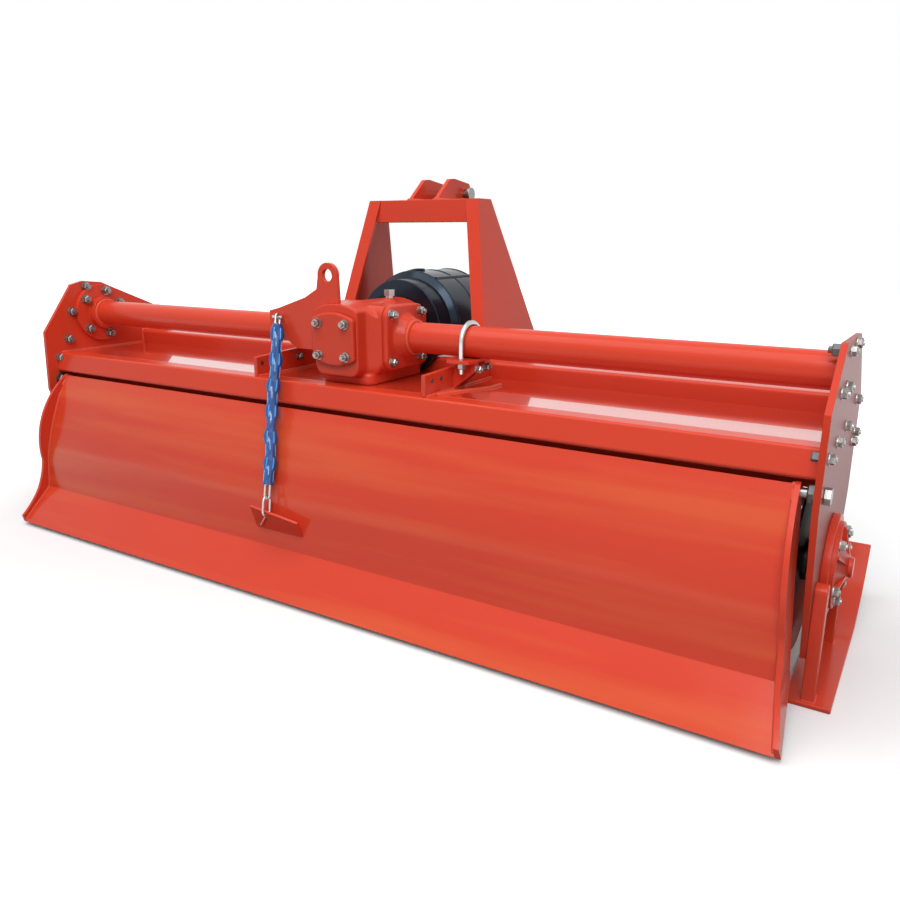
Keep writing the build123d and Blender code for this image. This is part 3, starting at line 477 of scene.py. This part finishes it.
def buildFastenerTree():  # washer, chamfered head and bolt end, turned at random on each point
    tree, start, end = newGeometryTree("fasteners", [
        ("Head Radius", "NodeSocketFloat"), ("Head Height", "NodeSocketFloat"),
        ("Washer Radius", "NodeSocketFloat"), ("Washer Height", "NodeSocketFloat"),
        ("Stub Radius", "NodeSocketFloat"), ("Stub Height", "NodeSocketFloat"),
        ("Finish", "NodeSocketMaterial")])
    link = tree.links.new

    def scaled(socket, share, extra=None):
        times = addNode(tree, "ShaderNodeMath", {1: share, 2: 0.0}, operation="MULTIPLY_ADD")
        link(socket, times.inputs[0])
        if extra is not None:
            link(extra, times.inputs[2])
        return times.outputs[0]

    def prism(sides, radius, height, foot, taper):
        cone = addNode(tree, "GeometryNodeMeshCone", {"Vertices": sides})
        link(scaled(radius, taper), cone.inputs["Radius Top"])
        link(radius, cone.inputs["Radius Bottom"])
        link(height, cone.inputs["Depth"])
        if foot is None:
            return cone.outputs["Mesh"]
        lift = addNode(tree, "ShaderNodeCombineXYZ")
        link(foot, lift.inputs["Z"])
        move = addNode(tree, "GeometryNodeTransform")
        link(cone.outputs["Mesh"], move.inputs["Geometry"])
        link(lift.outputs[0], move.inputs["Translation"])
        return move.outputs["Geometry"]

    radius, tall, thick = (start.outputs[name] for name in ("Head Radius", "Head Height", "Washer Height"))
    chamfer, straight = fastener["chamferShare"], 1 - fastener["chamferShare"]
    parts = [
        prism(fastener["washerSides"], start.outputs["Washer Radius"], thick, None, fastener["washerTaper"]),
        prism(fastener["headSides"], radius, scaled(tall, straight), thick, 1.0),
        prism(fastener["headSides"], radius, scaled(tall, chamfer), scaled(tall, straight, thick),
              fastener["chamferTaper"]),
        prism(fastener["stubSides"], start.outputs["Stub Radius"], start.outputs["Stub Height"],
              scaled(tall, 1.0, thick), fastener["stubTaper"]),
    ]
    joined = tree.nodes.new("GeometryNodeJoinGeometry")
    for part in parts:
        link(part, joined.inputs[0])
    facing = addNode(tree, "GeometryNodeInputNamedAttribute", {"Name": "facing"}, data_type="FLOAT_VECTOR")
    upright = addNode(tree, "FunctionNodeAlignRotationToVector", axis="Z")
    link(facing.outputs["Attribute"], upright.inputs["Vector"])
    twist = addNode(tree, "FunctionNodeRandomValue", {2: 0.0, 3: fastener["turn"], "Seed": fastener["seed"]},
                    data_type="FLOAT")
    spin = addNode(tree, "FunctionNodeAxisAngleToRotation", {"Axis": (0, 0, 1)})
    link(twist.outputs[1], spin.inputs["Angle"])
    turned = addNode(tree, "FunctionNodeRotateRotation", rotation_space="LOCAL")
    link(upright.outputs[0], turned.inputs["Rotation"])
    link(spin.outputs[0], turned.inputs["Rotate By"])
    placed = tree.nodes.new("GeometryNodeInstanceOnPoints")
    link(start.outputs["Geometry"], placed.inputs["Points"])
    link(joined.outputs[0], placed.inputs["Instance"])
    link(turned.outputs[0], placed.inputs["Rotation"])
    finishTree(tree, start, end, placed.outputs[0])
    return tree


def buildRodTree():  # bent rod or weld bead along a path of edges
    tree, start, end = newGeometryTree("rods", [
        ("Radius", "NodeSocketFloat"), ("Ripple", "NodeSocketFloat"), ("Ripple Length", "NodeSocketFloat"),
        ("Step", "NodeSocketFloat"), ("Sides", "NodeSocketInt"), ("Finish", "NodeSocketMaterial")])
    link = tree.links.new
    curve = tree.nodes.new("GeometryNodeMeshToCurve")
    even = addNode(tree, "GeometryNodeResampleCurve", mode="LENGTH")
    along = tree.nodes.new("GeometryNodeSplineParameter")
    phase = addNode(tree, "ShaderNodeMath", operation="DIVIDE")
    saw = addNode(tree, "ShaderNodeMath", operation="FRACT")
    swell = addNode(tree, "ShaderNodeMath", {2: 1.0}, operation="MULTIPLY_ADD")
    width = tree.nodes.new("GeometryNodeSetCurveRadius")
    ring = tree.nodes.new("GeometryNodeCurvePrimitiveCircle")
    skin = addNode(tree, "GeometryNodeCurveToMesh", {"Fill Caps": True})
    smooth = tree.nodes.new("GeometryNodeSetShadeSmooth")
    link(start.outputs["Geometry"], curve.inputs[0])
    link(curve.outputs[0], even.inputs["Curve"])
    link(start.outputs["Step"], even.inputs["Length"])
    link(along.outputs["Length"], phase.inputs[0])
    link(start.outputs["Ripple Length"], phase.inputs[1])
    link(phase.outputs[0], saw.inputs[0])
    link(saw.outputs[0], swell.inputs[0])
    link(start.outputs["Ripple"], swell.inputs[1])
    link(even.outputs[0], width.inputs["Curve"])
    link(swell.outputs[0], width.inputs["Radius"])
    link(start.outputs["Radius"], ring.inputs["Radius"])
    link(start.outputs["Sides"], ring.inputs["Resolution"])
    link(width.outputs[0], skin.inputs["Curve"])
    link(ring.outputs["Curve"], skin.inputs["Profile Curve"])
    link(swell.outputs[0], skin.inputs["Scale"])
    link(skin.outputs[0], smooth.inputs["Geometry"])
    finishTree(tree, start, end, smooth.outputs[0])
    return tree


fastenerTree = buildFastenerTree()
rodTree = buildRodTree()


def hardware(across, material=boltSteel, tall=0.65, washer=0.68, stub=0.3):  # sized by the width over flats
    return {"Head Radius": across / math.sqrt(3), "Head Height": across * tall,
            "Washer Radius": across * washer, "Washer Height": across * fastener["washerThick"],
            "Stub Radius": across * fastener["stubRadius"], "Stub Height": across * stub, "Finish": material}


def fasten(name, body, places, facings, values):
    if not isinstance(facings, list):
        facings = [facings] * len(places)
    return settle(name, places, [], fastenerTree, values, body, facings)


sameSpot = 1e-6  # a path whose ends are nearer than this is a closed ring


def rod(name, body, paths, radius, material, sides=8, step=0.004, ripple=0.0, rippleLength=0.01):
    points, edges = [], []
    for path in paths:
        first = len(points)
        closed = (path[0] - path[-1]).length < sameSpot
        kept = path[:-1] if closed else path
        points += kept
        edges += [(first + k, first + k + 1) for k in range(len(kept) - 1)]
        if closed:
            edges.append((len(points) - 1, first))
    values = {"Radius": radius, "Ripple": ripple, "Ripple Length": rippleLength, "Step": step,
              "Sides": sides, "Finish": material}
    return settle(name, points, edges, rodTree, values, body)


def around(x, centre, radius, angles):
    turns = [math.radians(angle) for angle in angles]
    return [Vector((x, centre.y + radius * math.cos(t), centre.z + radius * math.sin(t))) for t in turns]


clampRod = {"reach": 0.0448, "foot": -0.072, "radius": 0.0065, "bend": 24, "sides": 16, "nutHeight": -0.0463,
            "nut": 0.019}


def buildClamp():  # rod bent over the cross tube
    centre = at(middle("u_bolt").x, 0, 0)
    path = [centre + Vector((0, clampRod["reach"], clampRod["foot"]))]
    path += arcPath(centre, clampRod["reach"], 0, 180, clampRod["bend"], yAxis, zAxis)
    path.append(centre + Vector((0, -clampRod["reach"], clampRod["foot"])))
    piece = rod("clampRod", "frame", [path], clampRod["radius"], finishes["zinc"], clampRod["sides"])
    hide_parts("u_bolt")


bolts = {  # dy and dz from the tube's axis, x and dz on the rear cover, x, dy and dz on the deck ribs
    "rightPlate": [(0.077, 0.046), (-0.009, 0.040), (-0.008, -0.027), (-0.085, -0.027), (0.218, -0.089),
                   (0.071, -0.118), (-0.055, -0.124), (0.237, -0.186), (0.272, -0.172), (-0.155, -0.133)],
    "rightPlateNuts": [(-0.046, 0.045), (-0.155, -0.133)],
    "leftPlate": [(-0.042, 0.085), (-0.100, 0.010), (-0.121, -0.076), (-0.158, -0.131), (0.184, -0.110),
                  (0.281, -0.102)],
    "cover": [(-0.042, 0.039), (0.042, 0.039), (-0.042, -0.040), (0.042, -0.040)],
    "gearboxFlange": [(-0.064, 0.060), (-0.064, -0.057), (0.060, 0.060), (0.060, -0.057)],
    "ribs": [(-0.260, 0.013, -0.081), (0.336, -0.020, -0.062), (0.336, 0.020, -0.060)],
    "ribShadeDiscs": [(-0.260, -0.130, -0.081), (0.272, -0.120, -0.080), (0.272, -0.081, -0.080)],
    "tubeDiscAngles": [23, 75, 141, 222, 285, 343], "tubeDiscRadius": 0.072,
    "bearingAngles": [12, 48, 80, 128, 205, 262, 310], "bearingRadius": 0.074,
    "tubeDiscThick": 0.016, "gearboxFlangeThick": 0.016,
    "plateHead": 0.022, "rightHead": 0.018, "coverHead": 0.018, "nut": 0.022, "pivotNut": 0.032,
    "ribHead": 0.016, "ribShadeDisc": 0.008,
}


def onTube(x, rows):  # places on a face across the cross tube
    return [at(x, *row) for row in rows]


def buildBolts():
    plateHead, coverHead = hardware(bolts["plateHead"]), hardware(bolts["coverHead"])
    rightHead = hardware(bolts["rightHead"], tall=0.5, stub=0.15)
    fasten("rightPlateBolts", "frame", onTube(plateOut, bolts["rightPlate"]), xAxis, rightHead)
    fasten("rightPlateNuts", "frame", onTube(plateIn, bolts["rightPlateNuts"]), -xAxis,
           hardware(bolts["nut"], darkSteelAndHoleShade))
    fasten("leftPlateBolts", "frame", onTube(-plateIn, bolts["leftPlate"]), xAxis, plateHead)
    disc = -plateIn + bolts["tubeDiscThick"]
    fasten("tubeDiscBolts", "frame",
           around(disc, tubeAxis, bolts["tubeDiscRadius"], bolts["tubeDiscAngles"]), xAxis, plateHead)
    rear = low("gearbox_rear_cover").y
    fasten("coverBolts", "frame", [Vector((x, rear, tubeAxis.z + dz)) for x, dz in bolts["cover"]], -yAxis,
           coverHead)
    for side, name in ((1, "right"), (-1, "left")):
        face = side * (low("gearbox_flange_right").x + bolts["gearboxFlangeThick"])
        fasten(name + "FlangeBolts", "frame", onTube(face, bolts["gearboxFlange"]), xAxis * side, coverHead)
    cap = low("rotor_bearing_cap").x + bearingCap["discThick"]
    fasten("bearingBolts", "frame",
           around(cap, jointPlace["rotor_spin"], bolts["bearingRadius"], bolts["bearingAngles"]), xAxis,
           rightHead)
    pivot = jointPlace["board_swing"]
    fasten("pivotNuts", "frame", [Vector((side * plateIn, pivot.y, pivot.z)) for side in (1, -1)],
           [-xAxis, xAxis], hardware(bolts["pivotNut"], darkSteelAndHoleShade, tall=0.35, stub=0.0))
    feet = [(side * clampRod["reach"], clampRod["nutHeight"]) for side in (-1, 1)]
    fasten("clampNuts", "frame", onTube(middle("u_bolt").x, feet), -zAxis,
           hardware(clampRod["nut"], stub=0.6))
    fasten("ribBolts", "frame", [at(*row) for row in bolts["ribs"]], xAxis, hardware(bolts["ribHead"]))
    # painted shade: thin dark steel discs on the ribs stand in for the holes through them, which show dark inside
    fasten("ribShadeDiscs", "frame", [at(*row) for row in bolts["ribShadeDiscs"]], xAxis,
           hardware(bolts["ribShadeDisc"], darkSteelAndHoleShade, tall=0.05, stub=0.02))


caseBolts = {"inset": 0.011, "head": 0.012, "topAngles": [20, 60, 100, 140, 180],
             "lowAngles": [190, 225, 260, 295, 330, 5], "alongSide": [0.2, 0.4, 0.6, 0.8],
             "plug": 0.022, "fillPlug": (0.005, -0.02), "drainPlug": (0, 0.02)}


def buildCaseBolts():  # round the outline of the side gear case
    cover = "side_gearcase_cover"
    face = low(cover).x + caseCover["setBack"]
    top, bottom = tubeAxis, jointPlace["rotor_spin"]
    topRadius = high(cover).z - top.z - caseBolts["inset"]
    lowRadius = bottom.z - low(cover).z - caseBolts["inset"]
    places = around(face, top, topRadius, caseBolts["topAngles"])
    places += around(face, bottom, lowRadius, caseBolts["lowAngles"])
    line = Vector((0, bottom.y - top.y, bottom.z - top.z))
    along = line.normalized()
    lean = math.asin((topRadius - lowRadius) / line.length)
    for side in (1, -1):
        outward = Vector((0, along.z, -along.y)) * side
        outward = outward * math.cos(lean) + along * math.sin(lean)
        for share in caseBolts["alongSide"]:
            radius = topRadius + (lowRadius - topRadius) * share
            onLine = top + line * share
            places.append(Vector((face, onLine.y, onLine.z)) + outward * radius)
    fasten("caseBolts", "frame", places, -xAxis, hardware(caseBolts["head"], tall=0.42, stub=0.05))
    plugs = [Vector((face, centre.y + dy, centre.z + dz))
             for centre, (dy, dz) in ((top, caseBolts["fillPlug"]), (bottom, caseBolts["drainPlug"]))]
    fasten("casePlugs", "frame", plugs, -xAxis, hardware(caseBolts["plug"], darkSteelAndHoleShade, tall=0.2, stub=0.0))


rotorBolts = {"flanges": 9, "endFlange": 0.960, "bladeFace": 0.013, "blades": 3, "radii": (0.062, 0.084),
              "head": 0.017}


def buildRotorBolts():  # two bolts for each blade, on both faces of every flange
    centre, end, rows = jointPlace["rotor_spin"], rotorBolts["endFlange"], rotorBolts["flanges"]
    pitch = 2 * end / (rows - 1)
    bladeTurn = 360 / rotorBolts["blades"]
    places, facings = [], []
    for row in range(rows):
        for hand in (-1, 1):
            first = row * bladeTurn / rows + (bladeTurn / 2 if hand > 0 else 0)
            x = -end + row * pitch + hand * rotorBolts["bladeFace"]
            for k in range(rotorBolts["blades"]):
                turn = math.radians(first + bladeTurn * k)
                for radius in rotorBolts["radii"]:
                    places.append(centre + Vector((x, -radius * math.sin(turn), radius * math.cos(turn))))
                    facings.append(xAxis * hand)
    fasten("bladeBolts", "rotor", places, facings,
           hardware(rotorBolts["head"], darkSteelAndHoleShade, tall=0.55, washer=0.6))


buildRotorBolts()
buildBolts()
buildCaseBolts()
print("bolts placed")
buildClamp()

bead = {"radius": 0.0042, "ripple": 0.35, "rippleLength": 0.006, "step": 0.002, "sides": 7, "ringSteps": 40,
        "plateRing": 0.039, "tubeDiscRing": 0.0395, "tubeDiscOut": 0.040, "gearboxRing": 0.040,
        "fromBeam": 0.02, "ribThick": 0.012, "ribSetIn": 0.004, "earRadius": 0.0036, "earThick": 0.012}


def beads(name, body, paths, radius=bead["radius"]):
    rod(name, body, paths, radius, beadPaint, bead["sides"], bead["step"], bead["ripple"],
        bead["rippleLength"])


def tubeRing(x, radius):
    return arcPath(at(x, 0, 0), radius, 0, 360, bead["ringSteps"], yAxis, zAxis)


def buildBeads():
    deckTop, frontTop = high("deck").z, high("front_beam").z
    beamRear = low("rear_beam").y + bead["fromBeam"]
    frontRear, frontEdge = low("front_beam").y, high("front_beam").y
    ribLow, ribHigh = low("deck_ribs"), high("deck_ribs")
    paths = [tubeRing(plateIn, bead["plateRing"]),
             tubeRing(-plateIn + bead["tubeDiscOut"], bead["tubeDiscRing"])]
    for side in (1, -1):
        face = side * plateIn
        paths.append([Vector((face, beamRear, deckTop)), Vector((face, frontRear, deckTop)),
                      Vector((face, frontRear, frontTop)), Vector((face, frontEdge, frontTop))])
        paths.append(tubeRing(side * high("gearbox_flange_right").x, bead["gearboxRing"]))
        leg = side * high("hitch_leg_right").x
        paths.append([Vector((leg, frontRear, frontTop)), Vector((leg, frontEdge, frontTop))])
        rib = ribHigh.x if side > 0 else ribLow.x + bead["ribThick"]
        paths.append([Vector((rib, ribLow.y + bead["ribSetIn"], deckTop)),
                      Vector((rib, ribHigh.y, deckTop))])
    beads("frameBeads", "frame", paths)
    barTop, barFront = high("hitch_top_bar").z, high("hitch_top_bar").y
    earLow, earHigh = low("top_link_ears"), high("top_link_ears")
    earFaces = (earLow.x, earLow.x + bead["earThick"], earHigh.x - bead["earThick"], earHigh.x)
    paths = [[Vector((x, earLow.y, barTop)), Vector((x, barFront, barTop))] for x in earFaces]
    beads("earBeads", "frame", paths, bead["earRadius"])


boardBead = {"radius": 0.003, "outerFrom": 1.0, "sameHeight": 0.0015, "shorten": 0.06, "setIn": 0.002}
deckBead = {"radius": 0.005,  # dx from the ribs' outer face and dy from the tube's axis
            "path": [(0.006, -0.110), (0.022, -0.060), (0.045, -0.020), (0.070, 0.030), (0.074, 0.080)]}


def boardEdge(side):  # the line where the board meets an end plate, read from the board's own mesh
    found = {}
    for vertex in nodes["rear_board"].data.vertices:
        if vertex.co.x * side < boardBead["outerFrom"]:
            continue
        key = next((z for z in found if abs(z - vertex.co.z) < boardBead["sameHeight"]), vertex.co.z)
        if key not in found or vertex.co.y < found[key].y:
            found[key] = vertex.co.copy()
    line = [found[z] for z in sorted(found, reverse=True)]
    line = line[:-1]  # without the lip's own thickness
    line[-1] = line[-1].lerp(line[-2], boardBead["shorten"])
    return [point - xAxis * side * boardBead["setIn"] for point in line]


def buildBoardBeads():
    beads("boardBeads", "board", [boardEdge(1), boardEdge(-1)], boardBead["radius"])
    top = high("deck").z
    path = [Vector((high("deck_ribs").x + dx, tubeAxis.y + dy, top)) for dx, dy in deckBead["path"]]
    beads("deckBead", "frame", [path], deckBead["radius"])


buildBeads()
buildBoardBeads()
print("weld beads laid")

guard = {"radius": 0.150, "collar": 0.132, "open": 26, "steps": 60, "hoop": 0.003, "hoopStep": 0.006,
         "hoopSink": 0.001, "hoopsFromRear": [0.070, 0.165], "endHoop": 0.004, "collarSink": 0.004,
         "strap": 0.0045, "seamTurn": 62, "seamFrom": 0.075, "seamEnd": 0.006,
         "tabFrom": 0.110, "tabTurns": (86, 116), "tabLift": 0.002}


def buildGuardTrim():  # hoops, a seam and a finger tab on the shaft guard
    black = finishes["black_guard"]
    rear, front = low("pto_guard").y, high("pto_guard").y
    opening = (-guard["open"], 180 + guard["open"])

    def hoop(y, radius, turns):
        return arcPath(Vector((0, y, tubeAxis.z)), radius, *turns, guard["steps"], xAxis, zAxis)

    rows = [rear + dy for dy in guard["hoopsFromRear"]] + [front - guard["endHoop"]]
    hoops = [hoop(y, guard["radius"] - guard["hoopSink"], opening) for y in rows]
    hoops.append(hoop(rear + guard["endHoop"], guard["collar"] - guard["collarSink"], opening))
    rod("guardHoops", "frame", hoops, guard["hoop"], black, step=guard["hoopStep"])
    turn = math.radians(guard["seamTurn"])
    across, up = math.cos(turn) * guard["radius"], tubeAxis.z + math.sin(turn) * guard["radius"]
    seam = [Vector((across, rear + guard["seamFrom"], up)), Vector((across, front - guard["seamEnd"], up))]
    tab = hoop(rear + guard["tabFrom"], guard["radius"] + guard["tabLift"], guard["tabTurns"])
    rod("guardTab", "frame", [seam, tab], guard["strap"], black)


buildGuardTrim()
print("guard trimmed")

# the chain's line comes from the two joints that it turns on
chain = {"wire": 0.006, "innerWidth": 0.010, "lastInner": 0.036, "upperCount": 8, "count": 14,
         "seat": 0.0003, "first": -0.0045, "bend": 8, "sides": 10, "step": 0.0022}
chainTop = jointPlace["chain_swing"]
chainRun = jointPlace["chain_fold"] - chainTop
chainDir = chainRun.normalized()
chain["pitch"] = (chainRun.length - chain["seat"] - chain["wire"] / 2 - chain["first"]) / chain["upperCount"]
flatWay = (xAxis - chainDir * chainDir.x).normalized()
crossWay = flatWay.cross(chainDir).normalized()
ringTop = chain["first"] + (chain["count"] - 1) * chain["pitch"] + chain["lastInner"] - chain["seat"]


def linkPath(begin, innerLength, innerWidth, wide):
    half = (innerLength - innerWidth) / 2
    reach = (innerWidth + chain["wire"]) / 2
    centre = chainTop + chainDir * (begin + innerLength / 2)
    path = arcPath(centre + chainDir * half, reach, -90, 90, chain["bend"], chainDir, wide)
    path += arcPath(centre - chainDir * half, reach, 90, 270, chain["bend"], chainDir, wide)
    return path + path[:1]


def buildChain():
    last = chain["count"] - 1
    links = []
    for k in range(chain["count"]):
        inner = chain["lastInner"] if k == last else chain["pitch"] + chain["seat"]
        wide = crossWay if k % 2 == 0 else flatWay
        links.append(linkPath(chain["first"] + k * chain["pitch"], inner, chain["innerWidth"], wide))
    covered = {"upper": links[1:chain["upperCount"]], "lower": links[chain["upperCount"]:last]}
    bare = {"upper": links[:1], "lower": links[last:]}
    for run in ("upper", "lower"):
        for name, paths, zinc in (("chainLinks.", covered[run], coveredZinc),
                                  ("chainEnd.", bare[run], finishes["zinc"])):
            piece = rod(name + run, "chain_" + run, paths, chain["wire"] / 2, zinc, chain["sides"],
                        chain["step"])
            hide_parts("chain_links_" + run)


hook = {"inner": 0.044, "width": 0.018, "step": 0.002}


def buildHook():  # a ring for the last link and a tail down to the board's lug
    half = chain["wire"] / 2
    ring = linkPath(ringTop, hook["inner"], hook["width"], crossWay)
    foot = chainTop + chainDir * (ringTop + hook["inner"] + half)
    tip = min((vertex.co for vertex in nodes["chain_hook"].data.vertices), key=lambda co: co.z).copy()
    tip.z += half
    piece = rod("chainHook", "board", [ring, [foot, tip]], half, finishes["zinc"], chain["sides"],
                hook["step"])
    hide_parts("chain_hook")


sleeve = {"from": 0.020, "past": 0.004, "radius": 0.0148, "squeeze": 0.0032, "step": 0.0028, "sides": 24,
          "bend": 0.03, "swayIn": 20, "sways": [(0.0022, 21.0), (0.0012, 57.0)]}


def sleeveSway(along):  # the loose sleeve wanders to the side, by the reach and rate of each sway
    start = min(1.0, max(0.0, (along - sleeve["from"]) * sleeve["swayIn"]))
    return flatWay * (start * sum(reach * math.sin(along * rate) for reach, rate in sleeve["sways"]))


def buildSleeve():  # one tube over both runs, squeezed crosswise at every link
    begin, end, sides = sleeve["from"], ringTop - chain["lastInner"] + sleeve["past"], sleeve["sides"]
    rings = int((end - begin) / sleeve["step"])
    work = bmesh.new()
    rows = []
    for k in range(rings + 1):
        along = begin + (end - begin) * k / rings
        phase = math.pi * (along - chain["first"]) / chain["pitch"]
        centre = chainTop + chainDir * along + sleeveSway(along)
        row = []
        for j in range(sides):
            turn = 2 * math.pi * j / sides
            outward = flatWay * math.cos(turn) + crossWay * math.sin(turn)
            radius = sleeve["radius"] - sleeve["squeeze"] * math.sin(2 * turn) * math.sin(phase)
            row.append(work.verts.new(centre + outward * radius))
        rows.append(row)
    for a, b in zip(rows, rows[1:]):
        for j in range(sides):
            work.faces.new((a[j], a[(j + 1) % sides], b[(j + 1) % sides], b[j]))
    work.faces.new(rows[0])
    work.faces.new(rows[-1])
    bmesh.ops.recalc_face_normals(work, faces=work.faces)
    mesh = bpy.data.meshes.new("chainSleeve")
    work.to_mesh(mesh)
    work.free()
    mesh.shade_smooth()
    piece = newPiece("chainSleeve", mesh, None, finishes["chain_blue"])
    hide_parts("chain_sleeve_upper", "chain_sleeve_lower")
    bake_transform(piece)


ridge = {"radius": 0.0018, "width": 0.0105, "lift": 0.0110, "shorten": 0.001, "sides": 8, "step": 0.0024}


def buildRidges():  # the plastic stands out over each link, but not just below the elbow, where it folds; the ridges' lighter blue is a painted highlight on the stretched plastic
    bend = chain["upperCount"]
    for run, numbers in (("upper", range(1, bend)), ("lower", range(bend + 1, chain["count"] - 1))):
        paths = []
        for k in numbers:
            cross = crossWay * (1 if k % 2 == 0 else -1)
            wide, outward = (flatWay - cross) / math.sqrt(2), (flatWay + cross) / math.sqrt(2)
            oval = linkPath(chain["first"] + k * chain["pitch"], chain["pitch"] - ridge["shorten"],
                            ridge["width"], wide)
            sways = [sleeveSway((point - chainTop).dot(chainDir)) for point in oval]
            for side in (1, -1):
                paths.append([point + outward * side * ridge["lift"] + sway
                              for point, sway in zip(oval, sways)])
        rod("sleeveRidges." + run, "chain_" + run, paths, ridge["radius"], sleeveRidgeHighlight,
            ridge["sides"], ridge["step"])


buildChain()
buildHook()
buildSleeve()
buildRidges()
print("chain, hook and sleeve made")

# floor, light and camera
studio = {"floorHalf": 12.0, "floorRough": 0.9, "floorSeen": 0.95, "floorBounce": 0.14, "glowFrom": 1.3,
          "glowTo": 3.6, "skySeen": 1.0, "skyStrength": 0.48, "aim": (0, 0, 0.4)}
lamps = {"keyLight": {"place": (1.8, -3.6, 3.8), "size": (2.4, 2.4), "power": 120},
         "topLight": {"place": (0, -1.2, 4.2), "size": (4.5, 3.0), "power": 92}}
view = {"place": (1.2816, -1.7288, 0.8909), "turn": 31.90, "down": 15.12, "lens": 32.08, "sensor": 36}


def seenByEye(tree):  # 1 for rays that show the background, 0 for rays that only light the object
    rays = tree.nodes.new("ShaderNodeLightPath")
    result = rays.outputs["Is Camera Ray"]
    for name in ("Is Glossy Ray", "Is Transmission Ray"):
        both = addNode(tree, "ShaderNodeMath", operation="MAXIMUM")
        tree.links.new(result, both.inputs[0])
        tree.links.new(rays.outputs[name], both.inputs[1])
        result = both.outputs[0]
    return result


def grey(level):
    return (level, level, level, 1)


def floorPaint():  # white to the eye and glowing far away, but dim where it only lights the object
    material = bpy.data.materials.new("floorPaint")
    material.use_nodes = True
    tree = material.node_tree
    link = tree.links.new
    shader = tree.nodes["Principled BSDF"]
    shader.inputs["Roughness"].default_value = studio["floorRough"]
    shader.inputs["Emission Color"].default_value = grey(1)
    pale = addNode(tree, "ShaderNodeMix", {"A": grey(studio["floorBounce"]), "B": grey(studio["floorSeen"])},
                   data_type="RGBA")
    link(seenByEye(tree), pale.inputs["Factor"])
    link(pale.outputs["Result"], shader.inputs["Base Color"])
    distance = addNode(tree, "ShaderNodeVectorMath", operation="LENGTH")
    link(tree.nodes.new("ShaderNodeTexCoord").outputs["Object"], distance.inputs[0])
    far = addNode(tree, "ShaderNodeMapRange", {"From Min": studio["glowFrom"], "From Max": studio["glowTo"]})
    link(distance.outputs["Value"], far.inputs["Value"])
    glow = addNode(tree, "ShaderNodeMath", operation="MULTIPLY")
    link(far.outputs["Result"], glow.inputs[0])
    link(seenByEye(tree), glow.inputs[1])
    link(glow.outputs[0], shader.inputs["Emission Strength"])
    return material


def buildFloor():
    half = studio["floorHalf"]
    corners = [(-half, -half, 0), (half, -half, 0), (half, half, 0), (-half, half, 0)]
    mesh = bpy.data.meshes.new("floor")
    mesh.from_pydata(corners, [], [(0, 1, 2, 3)])
    mesh.materials.append(floorPaint())
    floor = bpy.data.objects.new("floor", mesh)
    bpy.context.scene.collection.objects.link(floor)


def buildSky():
    world = bpy.data.worlds.new("studioSky")
    bpy.context.scene.world = world
    world.use_nodes = True
    tree = world.node_tree
    back = tree.nodes["Background"]
    back.inputs["Color"].default_value = grey(1)
    strength = addNode(tree, "ShaderNodeMapRange",
                       {"To Min": studio["skyStrength"], "To Max": studio["skySeen"]})
    tree.links.new(seenByEye(tree), strength.inputs["Value"])
    tree.links.new(strength.outputs["Result"], back.inputs["Strength"])


def softBox(name, place, size, power):
    light = bpy.data.lights.new(name, "AREA")
    light.shape = "RECTANGLE"
    light.size, light.size_y = size
    light.energy = power
    lamp = bpy.data.objects.new(name, light)
    lamp.location = place
    lamp.rotation_euler = (Vector(studio["aim"]) - Vector(place)).to_track_quat("-Z", "Y").to_euler()
    bpy.context.scene.collection.objects.link(lamp)


def buildCamera():
    lens = bpy.data.cameras.new("camera")
    lens.sensor_width = view["sensor"]
    lens.lens = view["lens"]
    camera = bpy.data.objects.new("camera", lens)
    camera.location = view["place"]
    camera.rotation_euler = (math.radians(90 - view["down"]), 0, math.radians(view["turn"]))
    bpy.context.scene.collection.objects.link(camera)
    bpy.context.scene.camera = camera


buildFloor()
buildSky()
for name, lamp in lamps.items():
    softBox(name, **lamp)
buildCamera()
bpy.context.scene.view_settings.view_transform = "Standard"
print("studio ready")
